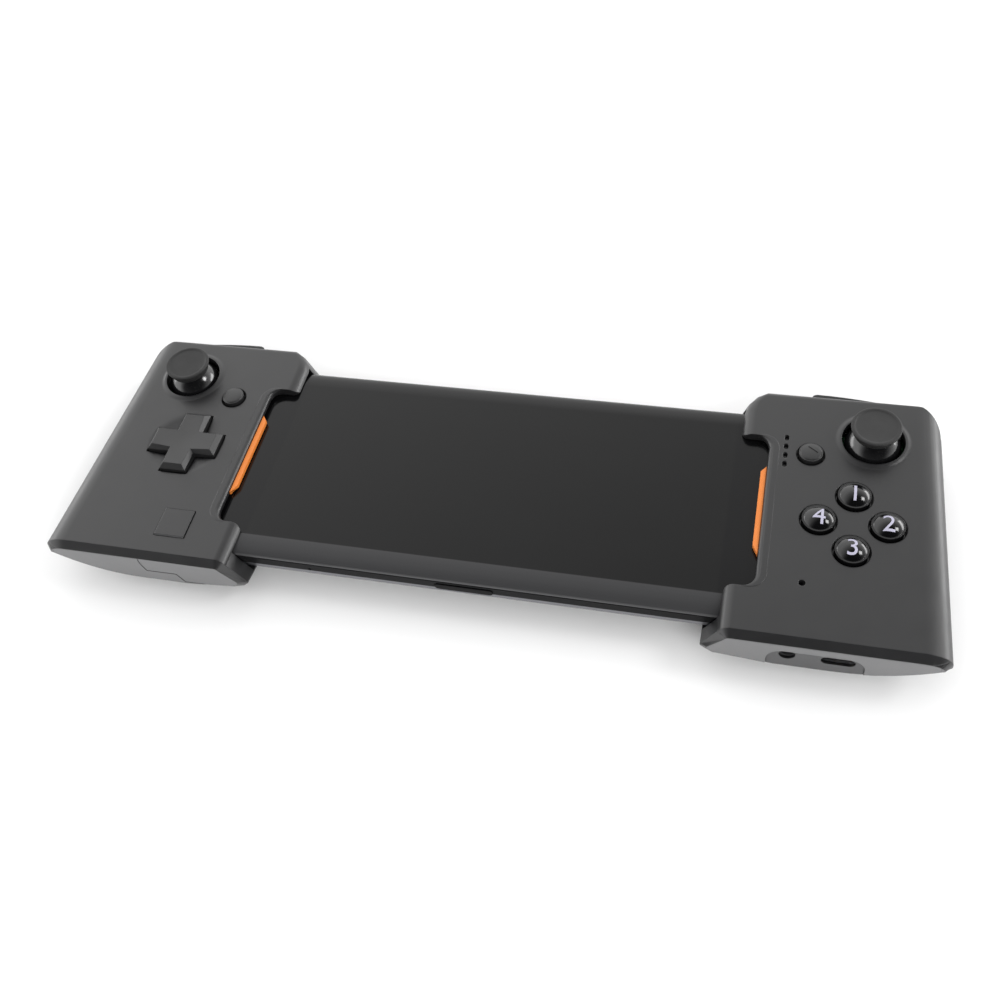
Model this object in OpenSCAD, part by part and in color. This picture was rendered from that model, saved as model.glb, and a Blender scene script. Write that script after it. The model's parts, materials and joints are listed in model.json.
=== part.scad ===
// Clamp-on game controller for a phone: two grips on a sprung sliding bridge.
// Millimetres. +X to the right grip, +Y to the far side with the triggers, +Z up.
// Origin on the floor under the middle of the bounding box.
// Each grip is modelled at +X with the phone's centre line on Y = 0, then mirrored and shifted.

/* [Phone] */
// phone length
phone_l = 159.5; // [150:0.5:170]
// phone width
phone_w = 73.4; // [68:0.2:78]
// phone thickness
phone_t = 8; // [7:0.1:9]
// phone corner radius in plan
phone_r = 8; // [5:0.5:10]
// width of the curved band of glass along each long edge
glass_roll = 6.2; // [3:0.2:8]

/* [Grips] */
// height of the top face above the floor
body_h = 18; // [17.5:0.1:19]
// ear tip to outer tip of one grip
grip_l = 59.5; // [58:0.5:63]
// phone centre line to the near end face
near_reach = 43.9; // [43:0.1:47]
// phone centre line to the far wall
far_reach = 42.9; // [42:0.1:45]
// how much narrower the outer side is at the far end
side_taper = 3.1; // [1:0.1:4]
// wall thickness of the shells
wall = 1.8; // [1.5:0.1:2]
// thickness of the ears over the phone
ear_t = 2.6; // [2.4:0.1:3]
// reach of the ears over the phone's end
ear_over = 9.05; // [8:0.1:10]
// reach of the lower lip under the phone's end
lip_over = 13.4; // [12.5:0.1:15]
// bevel around the near end face
end_bevel = 2; // [1.5:0.1:2.2]
// drop of the rolled outer side, top face to tip
roll_h = 4.4; // [4:0.1:5]
// width of the rolled outer side
roll_w = 7.5; // [6:0.1:9]
// rise of the underside at the near end
near_lift = 3.7; // [3:0.1:4.2]
// corner radius at the far outer corner
far_r = 10.5; // [8:0.5:11]

/* [Bay] */
// near side of the bay between the ears
bay_near = -28.1; // [-30:0.1:-26]
// far side of the bay between the ears
bay_far = 25; // [23:0.1:26]
// fillet in the corners of the bay
bay_r = 4.5; // [3:0.1:5]
// reach of the orange strip over the phone
trim_reach = 2.8; // [2.4:0.1:3.4]

/* [Thumbsticks] */
// stick centre from the middle of the part
stick_x = 108; // [107:0.1:109]
// stick centre from the phone's centre line
stick_y = 26.6; // [26:0.1:27]
// radius of the stick hole
stick_hole_r = 8.9; // [8.8:0.1:9.2]
// radius of the stick cap
cap_r = 7.1; // [6.5:0.1:7.3]
// height of the stick cap's top above the top face
cap_top = 6.8; // [6.5:0.1:7.4]
// radius of the dome under the cap
dome_r = 8.3; // [8:0.1:8.4]

/* [Buttons] */
// centre of the four face buttons
face_x = 103.5; // [103:0.1:104]
// centre of the four face buttons
face_y = -3.7; // [-4.2:0.1:-3.2]
// face button distance from their centre
face_pitch = 9.26; // [9:0.02:9.6]
// radius of a face button's rim
face_r = 4.55; // [4.3:0.05:4.7]
// gap between a button and its hole
button_gap = 0.5; // [0.35:0.05:0.6]
// centre of the menu and start buttons
menu_x = 90.8; // [90.5:0.1:91.2]
// centre of the menu and start buttons
menu_y = 19.4; // [19:0.1:19.8]
// radius of the menu and start buttons
menu_r = 3.4; // [3.2:0.05:3.5]
// centre of the direction pad
dpad_x = 99.4; // [99:0.1:99.8]
// centre of the direction pad
dpad_y = -0.9; // [-1.4:0.1:-0.5]
// direction pad across its arms
dpad_l = 22.6; // [21:0.2:23]
// width of a direction pad arm
dpad_w = 8.6; // [8:0.1:9]

/* [Bridge] */
// width of the bridge
bridge_w = 44; // [40:1:48]
// height of the bridge
bridge_t = 3.2; // [3:0.05:3.3]
// travel of the right grip
slide_travel = 22; // [20:0.5:24]
// thickness of the tongue
tongue_t = 1.4; // [1.2:0.05:1.4]

/* [Triggers] */
// inner end of the bumper and trigger
trigger_x = 90; // [89.6:0.1:91]
// length of the bumper and trigger
trigger_l = 26.4; // [25:0.1:26.6]
// reach of the trigger beyond the far wall
trigger_proud = 4.8; // [4:0.1:5.5]
// reach of the bumper beyond the far wall
bumper_proud = 2.5; // [2:0.1:3]
// radius of the trigger's pin
pin_r = 1; // [0.9:0.05:1.1]
// running clearance around pins
pin_gap = 0.05; // [0.03:0.01:0.08]

/* [Hidden] */
$fn = 48;
origin_y = (far_reach + trigger_proud - near_reach) / 2;
slot_gap = 0.35;
phone_end = phone_l / 2;
bay_x = phone_end + slot_gap;
ear_x = phone_end - ear_over;
lip_x = phone_end - lip_over;
tip_n = ear_x + grip_l;
tip_f = tip_n - side_taper;
part_z = body_h - roll_h;
plate_z = body_h - wall;
ear_r = 3.4;
ear_corner = 8;
dish_d = 1.2;
dish_rim = dpad_l / 2 + 1.6;
dish_r = (dish_rim * dish_rim + dish_d * dish_d) / (2 * dish_d);
phone_top = body_h - ear_t - 0.3;
phone_z = phone_top - phone_t;
phone_mid = phone_z + phone_t / 2;
slot_z0 = phone_z - 0.3;
slot_z1 = body_h - ear_t;
lip_b = 2;
belly_x = phone_end + 6.2;
arc_x = tip_n - 29.2;
tip_wall = 1;
belly_y = near_lift * 6 - near_reach;
seam_z = body_h - end_bevel - 0.2;
// circuit board
board_t = 1;
board_z = 10;
board_y = 34;
cav_x = bay_x + wall;
// bridge
bridge_z = slot_z0 - 0.6 - bridge_t;
skin = 0.6;
channel_z = bridge_z + skin;
channel_t = bridge_t - 2 * skin;
tongue_z = channel_z + (channel_t - tongue_t) / 2;
tongue_w = bridge_w - 8;
tongue_end = -24;
stop_x = tongue_end + 4 + slide_travel + 0.3;
bridge_end = bay_x + 5.4;
// pivots
stick_z = body_h - 4;
dpad_z = body_h - 3.4;
ring_r = 5.6;
trunnion_r = 0.7;
trigger_y = far_reach - 4.7;
trigger_z = 9.8;
window_x0 = trigger_x - 0.5;
window_x1 = trigger_x + trigger_l + 0.5;
screw_seat = 5.4;
boss_z = 8.6;
screw_at = [
    [cav_x + 2.9, bay_near + 2.6], [arc_x + 10, -near_reach + 8.4],
    [tip_n - 12.7, 9.4], [cav_x + 3.6, far_reach - 5.9]
];
post_at = [[cav_x + 9, -20], [stick_x + 2, 12.2], [cav_x + 8, 29]];
// ports in the right near end
jack_x = 89.2;
jack_z = body_h - 6.9;
jack_r = 1.8;
usb_x = 102.3;
usb_z = body_h - 7.4;
panel_x0 = 83.9;
panel_x1 = 109.2;
panel_z = body_h - 4.9;
seam_w = 0.3;
seam_d = 0.5;
panel_in = 0.4;
panel_t = 0.8;
led_x = cav_x + 1.8;
led_at = [14.9, 18.2, 21.5, 24.8];
mic_at = [91.2, -25.1];
mic_r = 0.95;
tile_at = [90.7, -31.1];
tile_w = 9.6;
face_at = [[0, 1], [1, 0], [0, -1], [-1, 0]];

// Helpers

// Points along part of an ellipse.
function ell(c, a, b, t0, t1, n) =
    [for (i = [0:n]) let (t = t0 + (t1 - t0) * i / n) [c[0] + a * cos(t), c[1] + b * sin(t)]];

// Outer side at a depth, narrower towards the far end.
function tip_at(y) = tip_n - side_taper * (y + near_reach) / (far_reach + near_reach);

// Radius of the arc under the outer half of a grip.
function belly_arc(tip, lift) =
    let (a = tip - arc_x, b = part_z - tip_wall - lift) (a * a + b * b) / (2 * b);

// Section of a whole grip, inset all round, with its underside lifted.
function grip_pts(tip, lift, in, turn = 0) =
    let (r = belly_arc(tip, lift), top = acos((lift + r - part_z + tip_wall / 2) / (r - in)))
    let (f = min(asin((tip - arc_x - in) / (r - in)), top)) concat(
    [[lip_x + turn + in + 1.5, lift + lip_b + in], [belly_x, lift + in]],
    [for (i = [0:10]) [arc_x + (r - in) * sin(f * i / 10), lift + r - (r - in) * cos(f * i / 10)]],
    ell([tip - roll_w, part_z], roll_w - in, roll_h - in, 0, 90, 12),
    ell([ear_x + turn + ear_r, body_h - ear_r], ear_r - in, ear_r - in, 90, 155, 6),
    [for (h = [2.3, 1.5]) [lip_x + turn + in, lift + lip_b + in + h]]);

// Height of the underside at a place.
function floor_z(x, y) =
    let (lift = max(0, near_lift * (belly_y - y) / (belly_y + near_reach - end_bevel)))
    let (r = belly_arc(tip_at(y), lift))
    lift + r - sqrt(r * r - pow(max(0, x - arc_x), 2));

// A section placed at a depth.
function placed_at(pts, y) = [for (p = pts) [p[0], y, p[1]]];

// Solid through sections of equal point count, near to far.
module loft(sections) {
    n = len(sections[0]);
    m = len(sections);
    sides = [for (j = [0:m - 2], i = [0:n - 1]) let (a = j * n + i, b = j * n + (i + 1) % n)
        each [[a, b, b + n], [a, b + n, a + n]]];
    caps = [[for (i = [n - 1:-1:0]) i], [for (i = [0:n - 1]) (m - 1) * n + i]];
    polyhedron(points = [for (s = sections) each s], faces = concat(caps, sides));
}

// Box from one corner to the other.
module span(a, b) translate(a) cube(b - a);

// Prism of an outline in X and Z, from one depth to another.
module prism_y(y0, y1) translate([0, y1, 0]) rotate([90, 0, 0]) linear_extrude(y1 - y0) children();

// Prism of an outline in Y and Z along X.
module prism_x(x0, x1) translate([x0, 0, 0]) rotate([90, 0, 90]) linear_extrude(x1 - x0) children();

// Round bar along X or Y.
module rod_x(x0, x1, y, z, r) translate([x0, y, z]) rotate([0, 90, 0]) cylinder(h = x1 - x0, r = r);
module rod_y(y0, y1, x, z, r) translate([x, y0, z]) rotate([-90, 0, 0]) cylinder(h = y1 - y0, r = r);

// Rectangle with true round corners.
module round_rect(l, w, r) {
    square([l - 2 * r, w], center = true);
    square([l, w - 2 * r], center = true);
    for (i = [-1, 1], j = [-1, 1]) translate([i * (l / 2 - r), j * (w / 2 - r)]) circle(r);
}

// Piece that rounds a convex corner when cut away; sx and sy point out of the corner.
module corner_cut(p, r, sx, sy) {
    difference() {
        translate([p[0] - sx * r, p[1] - sy * r]) mirror([sx < 0 ? 1 : 0, 0]) mirror([0, sy < 0 ? 1 : 0])
            square(r + 2);
        translate([p[0] - sx * r, p[1] - sy * r]) circle(r);
    }
}

// Mirrors a right-hand piece for the left grip, and shifts every piece to the part's origin.
module right() translate([0, -origin_y, 0]) children();
module left() translate([0, -origin_y, 0]) mirror([1, 0, 0]) children();

// Grip shells

module grip_body() {
    difference() {
        loft([
            placed_at(grip_pts(tip_n, near_lift, end_bevel), -near_reach),
            placed_at(grip_pts(tip_n, near_lift, 0), end_bevel - near_reach),
            placed_at(grip_pts(tip_at(belly_y), 0, 0), belly_y),
            for (a = [0:22.5:90]) let (y = far_reach - ear_corner * (1 - sin(a)))
                placed_at(grip_pts(tip_at(y), 0, 0, ear_corner * (1 - cos(a))), y)
        ]);
        translate([0, 0, -1]) linear_extrude(body_h + 2) corner_cut([tip_f, far_reach], far_r, 1, 1);
        prism_x(lip_x - 5, tip_n + 5) {
            corner_cut([far_reach, body_h], 2.2, 1, 1);
            corner_cut([far_reach, 0], 4, 1, -1);
        }
    }
}

// Hollow of a grip, from the bay's wall outwards.
module grip_hollow() {
    intersection() {
        loft([
            placed_at(grip_pts(tip_n, near_lift, wall), wall - near_reach),
            placed_at(grip_pts(tip_at(belly_y), 0, wall), belly_y),
            placed_at(grip_pts(tip_f, 0, wall), far_reach - wall)
        ]);
        span([cav_x, -90, 0], [tip_n + 5, 90, 40]);
        translate([0, 0, -1]) linear_extrude(body_h + 2) difference() {
            translate([0, -90]) square([300, 180]);
            corner_cut([tip_f - wall, far_reach - wall], far_r - wall, 1, 1);
        }
    }
}

// Room for the phone's end.
module phone_slot() {
    half = phone_w / 2 + slot_gap;
    span([lip_x - 9, -half, slot_z0], [bay_x, half, slot_z1]);
}

// Opening between the ears.
module bay_cut() {
    translate([0, 0, part_z - 1]) linear_extrude(body_h) {
        translate([ear_x - 9, bay_near]) square([bay_x - bay_r - ear_x + 9, bay_far - bay_near]);
        translate([ear_x - 9, bay_near + bay_r]) square([bay_x - ear_x + 9, bay_far - bay_near - 2 * bay_r]);
        for (y = [bay_near + bay_r, bay_far - bay_r]) translate([bay_x - bay_r, y]) circle(bay_r);
        corner_cut([ear_x, bay_far], 2, -1, -1);
        corner_cut([ear_x, bay_near], 2, -1, 1);
    }
}

// Part of the near wall above the parting plane that belongs to the rear shell.
module near_strip(is_left) {
    x0 = is_left ? stick_x - 9.7 : ear_x + 1;
    y0 = -near_reach;
    translate([0, 0, part_z - 0.5]) linear_extrude(seam_z - part_z + 0.5) polygon([
        [x0, y0 - 1], [tip_n - 4.2, y0 - 1], [tip_n - 1.4, y0 + wall], [x0, y0 + wall]]);
}

// Stepped tab of the left front shell, down the near end face.
module near_tab(depth = wall, rim = 0) {
    x0 = stick_x - 9.7 + rim;
    prism_y(-near_reach - 1, depth - near_reach) polygon([
        [lip_x - 5, slot_z1 + 0.5], [ear_x + 2, slot_z1 + 0.5], [ear_x + 2, part_z + 0.5],
        [x0, part_z + 0.5], [x0, part_z], [x0 - 0.9, part_z - 3.4 - rim],
        [x0 - 10.6, part_z - 3.3 - rim], [x0 - 12.4, part_z - 7 - rim], [lip_x - 5, part_z - 6.7 - rim]]);
}

// Fine groove along the tab, where the seam shows on the left end face.
module seam_line() {
    x0 = stick_x - 9.7;
    near_tab(seam_d, seam_w);
    span([x0 - 0.1, -near_reach - 1, part_z], [x0 + seam_w, seam_d - near_reach, seam_z + 1]);
}

// Root of the lip, which reaches up to the ear's underside and belongs to the rear shell.
module lip_root() span([lip_x - 9, -90, part_z - 1], [ear_x + 1.2, 90, slot_z1]);

// Everything on the rear shell's side of the seam.
module below_seam(is_left) {
    difference() {
        union() {
            span([lip_x - 9, -90, -9], [tip_n + 9, 90, part_z]);
            lip_root();
        }
        if (is_left) near_tab();
    }
    near_strip(is_left);
}

// Everything on the front shell's side of the seam.
module above_seam(is_left) {
    difference() {
        span([lip_x - 9, -90, part_z], [tip_n + 9, 90, body_h + 9]);
        near_strip(is_left);
        lip_root();
    }
    if (is_left) near_tab();
}

// Opening for the bumper and the trigger in the far wall.
module trigger_window() {
    span([window_x0, far_reach - wall - 1, 3], [window_x1, far_reach + 5, body_h - 2.4]);
}

// Groove in the bay's wall for the orange strip's root.
module trim_groove() {
    span([bay_x - 1, -17.2, phone_top + 0.4], [bay_x + 1.05, 14.6, phone_top + 1.4]);
}

module front_shell(is_left) {
    difference() {
        union() {
            difference() {
                grip_body();
                grip_hollow();
                below_seam(is_left);
            }
            stick_collar();
            for (p = screw_at) translate([p[0], p[1], boss_z]) cylinder(h = plate_z - boss_z + 0.2, r = 2.2);
        }
        phone_slot();
        bay_cut();
        trigger_window();
        trim_groove();
        for (p = screw_at) translate([p[0], p[1], boss_z - 1]) cylinder(h = 7, r = 0.85);
        translate([stick_x, stick_y, part_z]) cylinder(h = body_h, r = stick_hole_r);
        button_hole(menu_x, menu_y, menu_r);
        if (is_left) left_openings(); else right_openings();
    }
}

// Soft raised ring around the stick's hole.
module stick_collar() {
    translate([stick_x, stick_y, body_h - wall]) rotate_extrude()
        polygon([[stick_hole_r - 1, 0], [10.9, 0], [10.9, wall], [10.2, wall + 0.16], [9.7, wall + 0.42],
            [9.3, wall + 0.5], [stick_hole_r - 1, wall + 0.5]]);
}

module button_hole(x, y, r) {
    translate([x, y, part_z]) cylinder(h = body_h, r = r + button_gap);
    translate([x, y, body_h - 0.3]) cylinder(h = 0.6, r1 = r + button_gap, r2 = r + button_gap + 0.6);
}

module left_openings() {
    translate([dpad_x, dpad_y, body_h - dish_d + dish_r]) sphere(dish_r);
    for (a = [0, 90]) translate([dpad_x, dpad_y, part_z]) rotate(a) linear_extrude(body_h)
        square([dpad_l + 1.1, dpad_w + 1.1], center = true);
    translate([tile_at[0], tile_at[1], body_h - 0.6]) linear_extrude(2) square(tile_w + 0.4, center = true);
}

module right_openings() {
    for (d = face_at) button_hole(face_x + d[0] * face_pitch, face_y + d[1] * face_pitch, face_r);
    for (y = led_at) translate([led_x, y, part_z]) linear_extrude(body_h) round_rect(1.3, 2.1, 0.6);
    translate([mic_at[0], mic_at[1], part_z]) cylinder(h = body_h, r = mic_r);
}

module rear_shell(is_left) {
    difference() {
        union() {
            difference() {
                grip_body();
                grip_hollow();
                above_seam(is_left);
            }
            for (p = screw_at) translate([p[0], p[1], floor_z(p[0], p[1]) + 1.1])
                cylinder(h = boss_z - floor_z(p[0], p[1]) - 1.1, r = 2.9);
            for (p = post_at) translate([p[0], p[1], floor_z(p[0], p[1]) + 1.1])
                cylinder(h = board_z - board_t - floor_z(p[0], p[1]) - 1.1, r = 1.8);
            for (x = [window_x0 - 1.6, window_x1])
                span([x, trigger_y - 2.4, 4.6], [x + 1.6, far_reach - 1.2, 11.7]);
        }
        phone_slot();
        trigger_window();
        for (p = screw_at) translate([p[0], p[1], -1]) {
            cylinder(h = boss_z + 2, r = 1);
            cylinder(h = screw_seat + 1, r = 2.1);
        }
        rod_x(window_x0 - 0.8, window_x1 + 0.8, trigger_y, trigger_z, pin_r);
        if (is_left) {
            span([lip_x - 5, -bridge_w / 2, bridge_z], [bridge_end, bridge_w / 2, bridge_z + bridge_t]);
            seam_line();
        } else {
            span([lip_x - 5, -tongue_w / 2, tongue_z], [bridge_end, tongue_w / 2, tongue_z + tongue_t]);
            ports_cut();
        }
        ribbon_way();
    }
}

// Way for the ribbon cable from the bridge up to the board.
module ribbon_way() {
    span([lip_x - 5, -4.6, tongue_z + tongue_t - 0.1], [bridge_end + 0.6, 4.6, channel_z + channel_t]);
    span([bridge_end - 1.5, -4.6, tongue_z + tongue_t - 0.1], [bridge_end + 0.6, 4.6, slot_z0 + 4]);
}

module ports_cut() {
    prism_y(-near_reach - 1, panel_in + panel_t - near_reach) panel_outline(0);
    y0 = panel_in + panel_t - 0.2 - near_reach;
    span([jack_x - 3.6, y0, jack_z - 2.9], [jack_x + 3.6, wall + 0.5 - near_reach, jack_z + 2.9]);
    span([usb_x - 4.7, y0, usb_z - 1.8], [usb_x + 4.7, wall + 0.5 - near_reach, usb_z + 1.8]);
    translate([0, 0, phone_mid]) prism_x(bay_x - 1, cav_x + 0.5) round_rect(8.6, 2.8, 1.35);
}

// Port panel outline with round upper corners, running off the lower edge of the end face.
module panel_outline(in) {
    mid = (panel_x0 + panel_x1) / 2;
    translate([mid, panel_z - 10]) round_rect(panel_x1 - panel_x0 - 2 * in, 20 - 2 * in, 4.6);
}

// Grip fittings

module bay_trim() {
    x0 = bay_x - trim_reach;
    x1 = bay_x - 1.25;
    translate([0, 0, phone_top + 0.4]) linear_extrude(1.3)
        polygon([[x1, -16.9], [x1, 14.3], [x0, 12.3], [x0, -13.8]]);
    span([x1 - 0.4, -16.3, phone_top + 0.45], [bay_x + 0.1, 13.7, phone_top + 0.95]);
    span([bay_x, -17.1, phone_top + 0.45], [bay_x + 1, 14.5, phone_top + 1.35]);
}

module tile() {
    translate([tile_at[0], tile_at[1], body_h - 0.6]) linear_extrude(1) square(tile_w, center = true);
}

module circuit_board(is_left) {
    translate([0, 0, board_z - board_t]) linear_extrude(board_t) difference() {
        translate([cav_x + 0.6, 3 - near_reach]) square([tip_n - 12 - cav_x, board_y + near_reach - 3]);
        for (p = screw_at) translate(p) circle(2.6);
        translate([cav_x - 1, -5]) square([bridge_end - cav_x + 1.4, 10]);
        if (!is_left) {
            translate([cav_x - 1, -near_reach]) square([jack_x + 4.9 - cav_x, 17.5]);
            translate([usb_x - 4.9, -near_reach]) square([9.8, 9.2]);
        }
    }
}

// Silicone sheet with one dome under each button.
module keypad(is_left) {
    size = is_left ? [27.5, 33.2] : [32.5, 35.2];
    difference() {
        translate([0, 0, board_z]) linear_extrude(0.6) difference() {
            translate([cav_x + 5.6, is_left ? -16 : -19.5]) square(size);
            if (is_left) translate([dpad_x, dpad_y]) circle(4.9);
        }
        for (p = post_at) translate([p[0], p[1], 0]) cylinder(h = 20, r = 2.2);
        for (p = screw_at) translate([p[0], p[1], 0]) cylinder(h = 20, r = 2.7);
    }
    span([menu_x - 4.4, menu_y - 4.4, board_z], [menu_x + 4.4, menu_y + 4.4, board_z + 0.6]);
    dome_at(menu_x, menu_y, body_h - 5.6);
    if (is_left) for (d = face_at) dome_at(dpad_x + 8.4 * d[0], dpad_y + 8.4 * d[1], body_h - 3.8);
    else for (d = face_at) dome_at(face_x + d[0] * face_pitch, face_y + d[1] * face_pitch, body_h - 5.6);
}

module dome_at(x, y, top) {
    translate([x, y, board_z]) cylinder(h = top - board_z - 0.05, r1 = 3.4, r2 = 2.1);
}

module case_screws() {
    for (p = screw_at) translate([p[0], p[1], screw_seat - 1.4]) difference() {
        union() {
            cylinder(h = 1.4, r = 1.9);
            cylinder(h = 9.4, r = 0.8);
        }
        translate([-1.1, -0.25, -1]) cube([2.2, 0.5, 1.6]);
        translate([-0.25, -1.1, -1]) cube([0.5, 2.2, 1.6]);
    }
}

// Thumbstick on two crossed pivots

module stick_base() {
    translate([stick_x, stick_y, 0]) difference() {
        union() {
            translate([0, 0, board_z]) cylinder(h = 1, r = 7.6);
            for (s = [-1, 1]) translate([s * (ring_r + 0.83) - 0.48, -1.4, board_z])
                cube([0.96, 2.8, stick_z - board_z + 1]);
        }
        rod_x(-9, 9, 0, stick_z, trunnion_r);
    }
}

module stick_ring() {
    translate([stick_x, stick_y, stick_z]) {
        difference() {
            translate([0, 0, -1.3]) cylinder(h = 2.6, r = ring_r);
            translate([0, 0, -2]) cylinder(h = 4, r = ring_r - 1.5);
            rod_y(-9, 9, 0, 0, trunnion_r);
        }
        for (s = [-1, 1]) rod_x(s * (ring_r + 0.4) - 1, s * (ring_r + 0.4) + 1, 0, 0, trunnion_r - pin_gap);
    }
}

// Stem, cross pin and the dome that closes the hole.
module stick_stem() {
    top = cap_top + 4 - 3.3;
    translate([stick_x, stick_y, stick_z]) {
        translate([0, 0, -1.5]) cylinder(h = top + 3.4, r = 2.2);
        translate([0, 0, top - 1.2]) cylinder(h = 1.2, r = 4.2);
        rod_y(-ring_r + 0.1, ring_r - 0.1, 0, 0, trunnion_r - pin_gap);
        rotate_extrude() intersection() {
            difference() {
                circle(dome_r);
                circle(dome_r - 0.7);
            }
            translate([1, 0.2]) square([dome_r, top - 0.8]);
        }
    }
}

module stick_cap() {
    low = cap_top - 3.3;
    translate([stick_x, stick_y, body_h]) rotate_extrude() difference() {
        polygon([[0, low], [cap_r - 0.9, low], [cap_r - 0.35, low + 0.25], [cap_r - 0.05, low + 0.8],
            [cap_r, low + 1.3], [cap_r, low + 2.3], [cap_r - 0.15, low + 2.75], [cap_r - 0.5, low + 3.02],
            [cap_r - 1.2, low + 3.2], [cap_r - 1.9, low + 3.3], [cap_r - 2.2, low + 3.26],
            [cap_r - 2.4, low + 3.05], [cap_r - 2.6, low + 2.95], [0, low + 2.9]]);
        square([2.25, low + 1.95]);
    }
}

// Direction pad on a crossed pivot

module dpad_base() {
    translate([dpad_x, dpad_y, 0]) difference() {
        union() {
            translate([0, 0, board_z]) cylinder(h = 1, r = 4.6);
            for (s = [-1, 1]) translate([s * 2.65 - 0.65, -1.5, board_z])
                cube([1.3, 3, dpad_z - board_z + 1.1]);
        }
        rod_x(-5, 5, 0, dpad_z, 0.6);
    }
}

module dpad_pivot() {
    translate([dpad_x, dpad_y, dpad_z]) {
        cube([3.2, 3.2, 2], center = true);
        rod_x(-3.2, 3.2, 0, 0, 0.6 - pin_gap);
        rod_y(-3.2, 3.2, 0, 0, 0.6 - pin_gap);
    }
}

module dpad() {
    translate([dpad_x, dpad_y, 0]) difference() {
        union() {
            difference() {
                union() {
                    translate([0, 0, body_h - 3.75]) cylinder(h = 0.8, r = dpad_l / 2 + 1);
                    for (a = [0, 90]) rotate(a) dpad_arm();
                }
                translate([0, 0, body_h - 4]) cylinder(h = 2.3, r = 4.4);
                translate([0, 0, body_h + 2.1]) cylinder(h = 1, r1 = 2.2, r2 = 4.6);
            }
            for (s = [-1, 1]) translate([-1.5, s * 2.65 - 0.65, dpad_z - 1.2]) cube([3, 1.3, 3]);
        }
        rod_y(-5, 5, 0, dpad_z, 0.6);
    }
}

// One straight bar of the pad with its ends and sides sloped.
module dpad_arm() {
    h = body_h + 2.3;
    l = dpad_l / 2;
    w = dpad_w / 2;
    intersection() {
        prism_y(-w, w) polygon([[-l, body_h - 3.75], [l, body_h - 3.75], [l, h - 1.5], [l - 1.4, h - 0.1],
            [2.2, h - 0.55], [-2.2, h - 0.55], [1.4 - l, h - 0.1], [-l, h - 1.5]]);
        prism_x(-l, l) polygon([[-w, body_h - 3.75], [w, body_h - 3.75], [w, h - 1.5], [w - 1.3, h],
            [1.3 - w, h], [-w, h - 1.5]]);
    }
}

// Push buttons

module push_button(x, y, r, rise, side, crown) {
    translate([x, y, body_h]) rotate_extrude() difference() {
        union() {
            translate([0, -5.6]) square([2.4, 3]);
            translate([0, -3]) square([r + 1, 0.9]);
            translate([0, -2.2]) square([r, rise * side + 2.2]);
            intersection() {
                translate([0, rise - r * crown]) circle(r * crown);
                translate([0, -1]) square([r * 0.88, rise + 1]);
            }
        }
        translate([-20, -20]) square([20, 60]);
    }
}

module face_button(d) push_button(face_x + d[0] * face_pitch, face_y + d[1] * face_pitch, face_r, 2.4, 0.35, 1.35);

// Bumper and trigger

module bumper() {
    y0 = far_reach - 5.4;
    y1 = far_reach + 0.4;
    x1 = trigger_x + trigger_l;
    translate([0, 0, body_h - 5.9]) linear_extrude(3.2) polygon(concat(
        [[trigger_x, y0], [x1, y0], [x1, y1]],
        [for (i = [1:6]) [x1 - i * (trigger_l - 1.4) / 6, y1 + (bumper_proud - 0.4) * sin(i * 15)]],
        [[trigger_x + 0.4, far_reach + bumper_proud - 0.4], [trigger_x, far_reach + bumper_proud - 1.2]]));
    y2 = far_reach - wall;
    span([trigger_x - 1.3, y2 - 2.2, body_h - 5.9], [x1 + 1.3, y2 - 1.1, body_h - 3]);
}

module trigger() {
    y = trigger_y;
    z = trigger_z;
    out = far_reach + trigger_proud;
    slot = trigger_x + 11;
    difference() {
        union() {
            prism_x(trigger_x, trigger_x + trigger_l) {
                polygon(concat([[y, z + 1.7], [y, z - 3.4], [far_reach - 0.4, z - 5.2]],
                    [[out - 1.6, 4.5], [out - 0.4, 4.7], [out, 5.3]],
                    [for (i = [1:5]) [out - 1.6 * sin(i * 18), 5.3 + i * 1.1]], [[out - 2.6, z + 1.7]]));
                translate([y, z]) circle(1.9);
            }
        }
        rod_x(trigger_x - 1, trigger_x + trigger_l + 1, y, z, pin_r + pin_gap);
        span([slot, y - 4, z - 2.9], [slot + 4.4, y + 2.9, z + 2.9]);
        span([trigger_x + trigger_l - 3.2, y - 3, 0], [window_x1, far_reach - 1.4, z - 2.6]);
    }
}

module trigger_pin() rod_x(window_x0 - 0.7, window_x1 + 0.7, trigger_y, trigger_z, pin_r);

// Sections of a coil along Z, for a loft.
function coil(r, wire, h, turns, per, n) =
    [for (j = [0:turns * per]) let (t = 360 * j / per, z = h * j / (turns * per))
        [for (i = [0:n - 1]) let (f = 360 * i / n, q = r + wire * cos(f))
            [q * cos(t), q * sin(t), z + wire * sin(f)]]];

// Coil around the pin, with one leg on the floor and one on the trigger.
module trigger_spring() {
    x = trigger_x + 11.4;
    translate([x, trigger_y, trigger_z]) rotate([0, 90, 0]) loft(coil(1.75, 0.3, 3.4, 4, 12, 5));
    translate([x, trigger_y - 1.75, wall + 0.1]) cylinder(h = trigger_z - wall, r = 0.25);
    rod_y(trigger_y, trigger_y + 2.85, x + 3.4, trigger_z - 1.75, 0.25);
}

// Bridge

module bridge_tray() {
    y = bridge_w / 2;
    difference() {
        span([-bridge_end, -y, bridge_z], [lip_x - 1.4, y, channel_z + channel_t]);
        span([3 - lip_x, -tongue_w / 2 - 0.4, channel_z], [stop_x, tongue_w / 2 + 0.4, 20]);
        span([stop_x - 1, -tongue_w / 2 + 1.6, channel_z], [lip_x, tongue_w / 2 - 1.6, 20]);
        span([-bridge_end - 1, -4.6, tongue_z + tongue_t - 0.1], [4 - lip_x, 4.6, 20]);
    }
    for (s = [-1, 1]) translate([5.4 - lip_x, 12 * s, bridge_z + 0.2])
        cylinder(h = channel_t + 0.3, r = 0.5);
}

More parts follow.
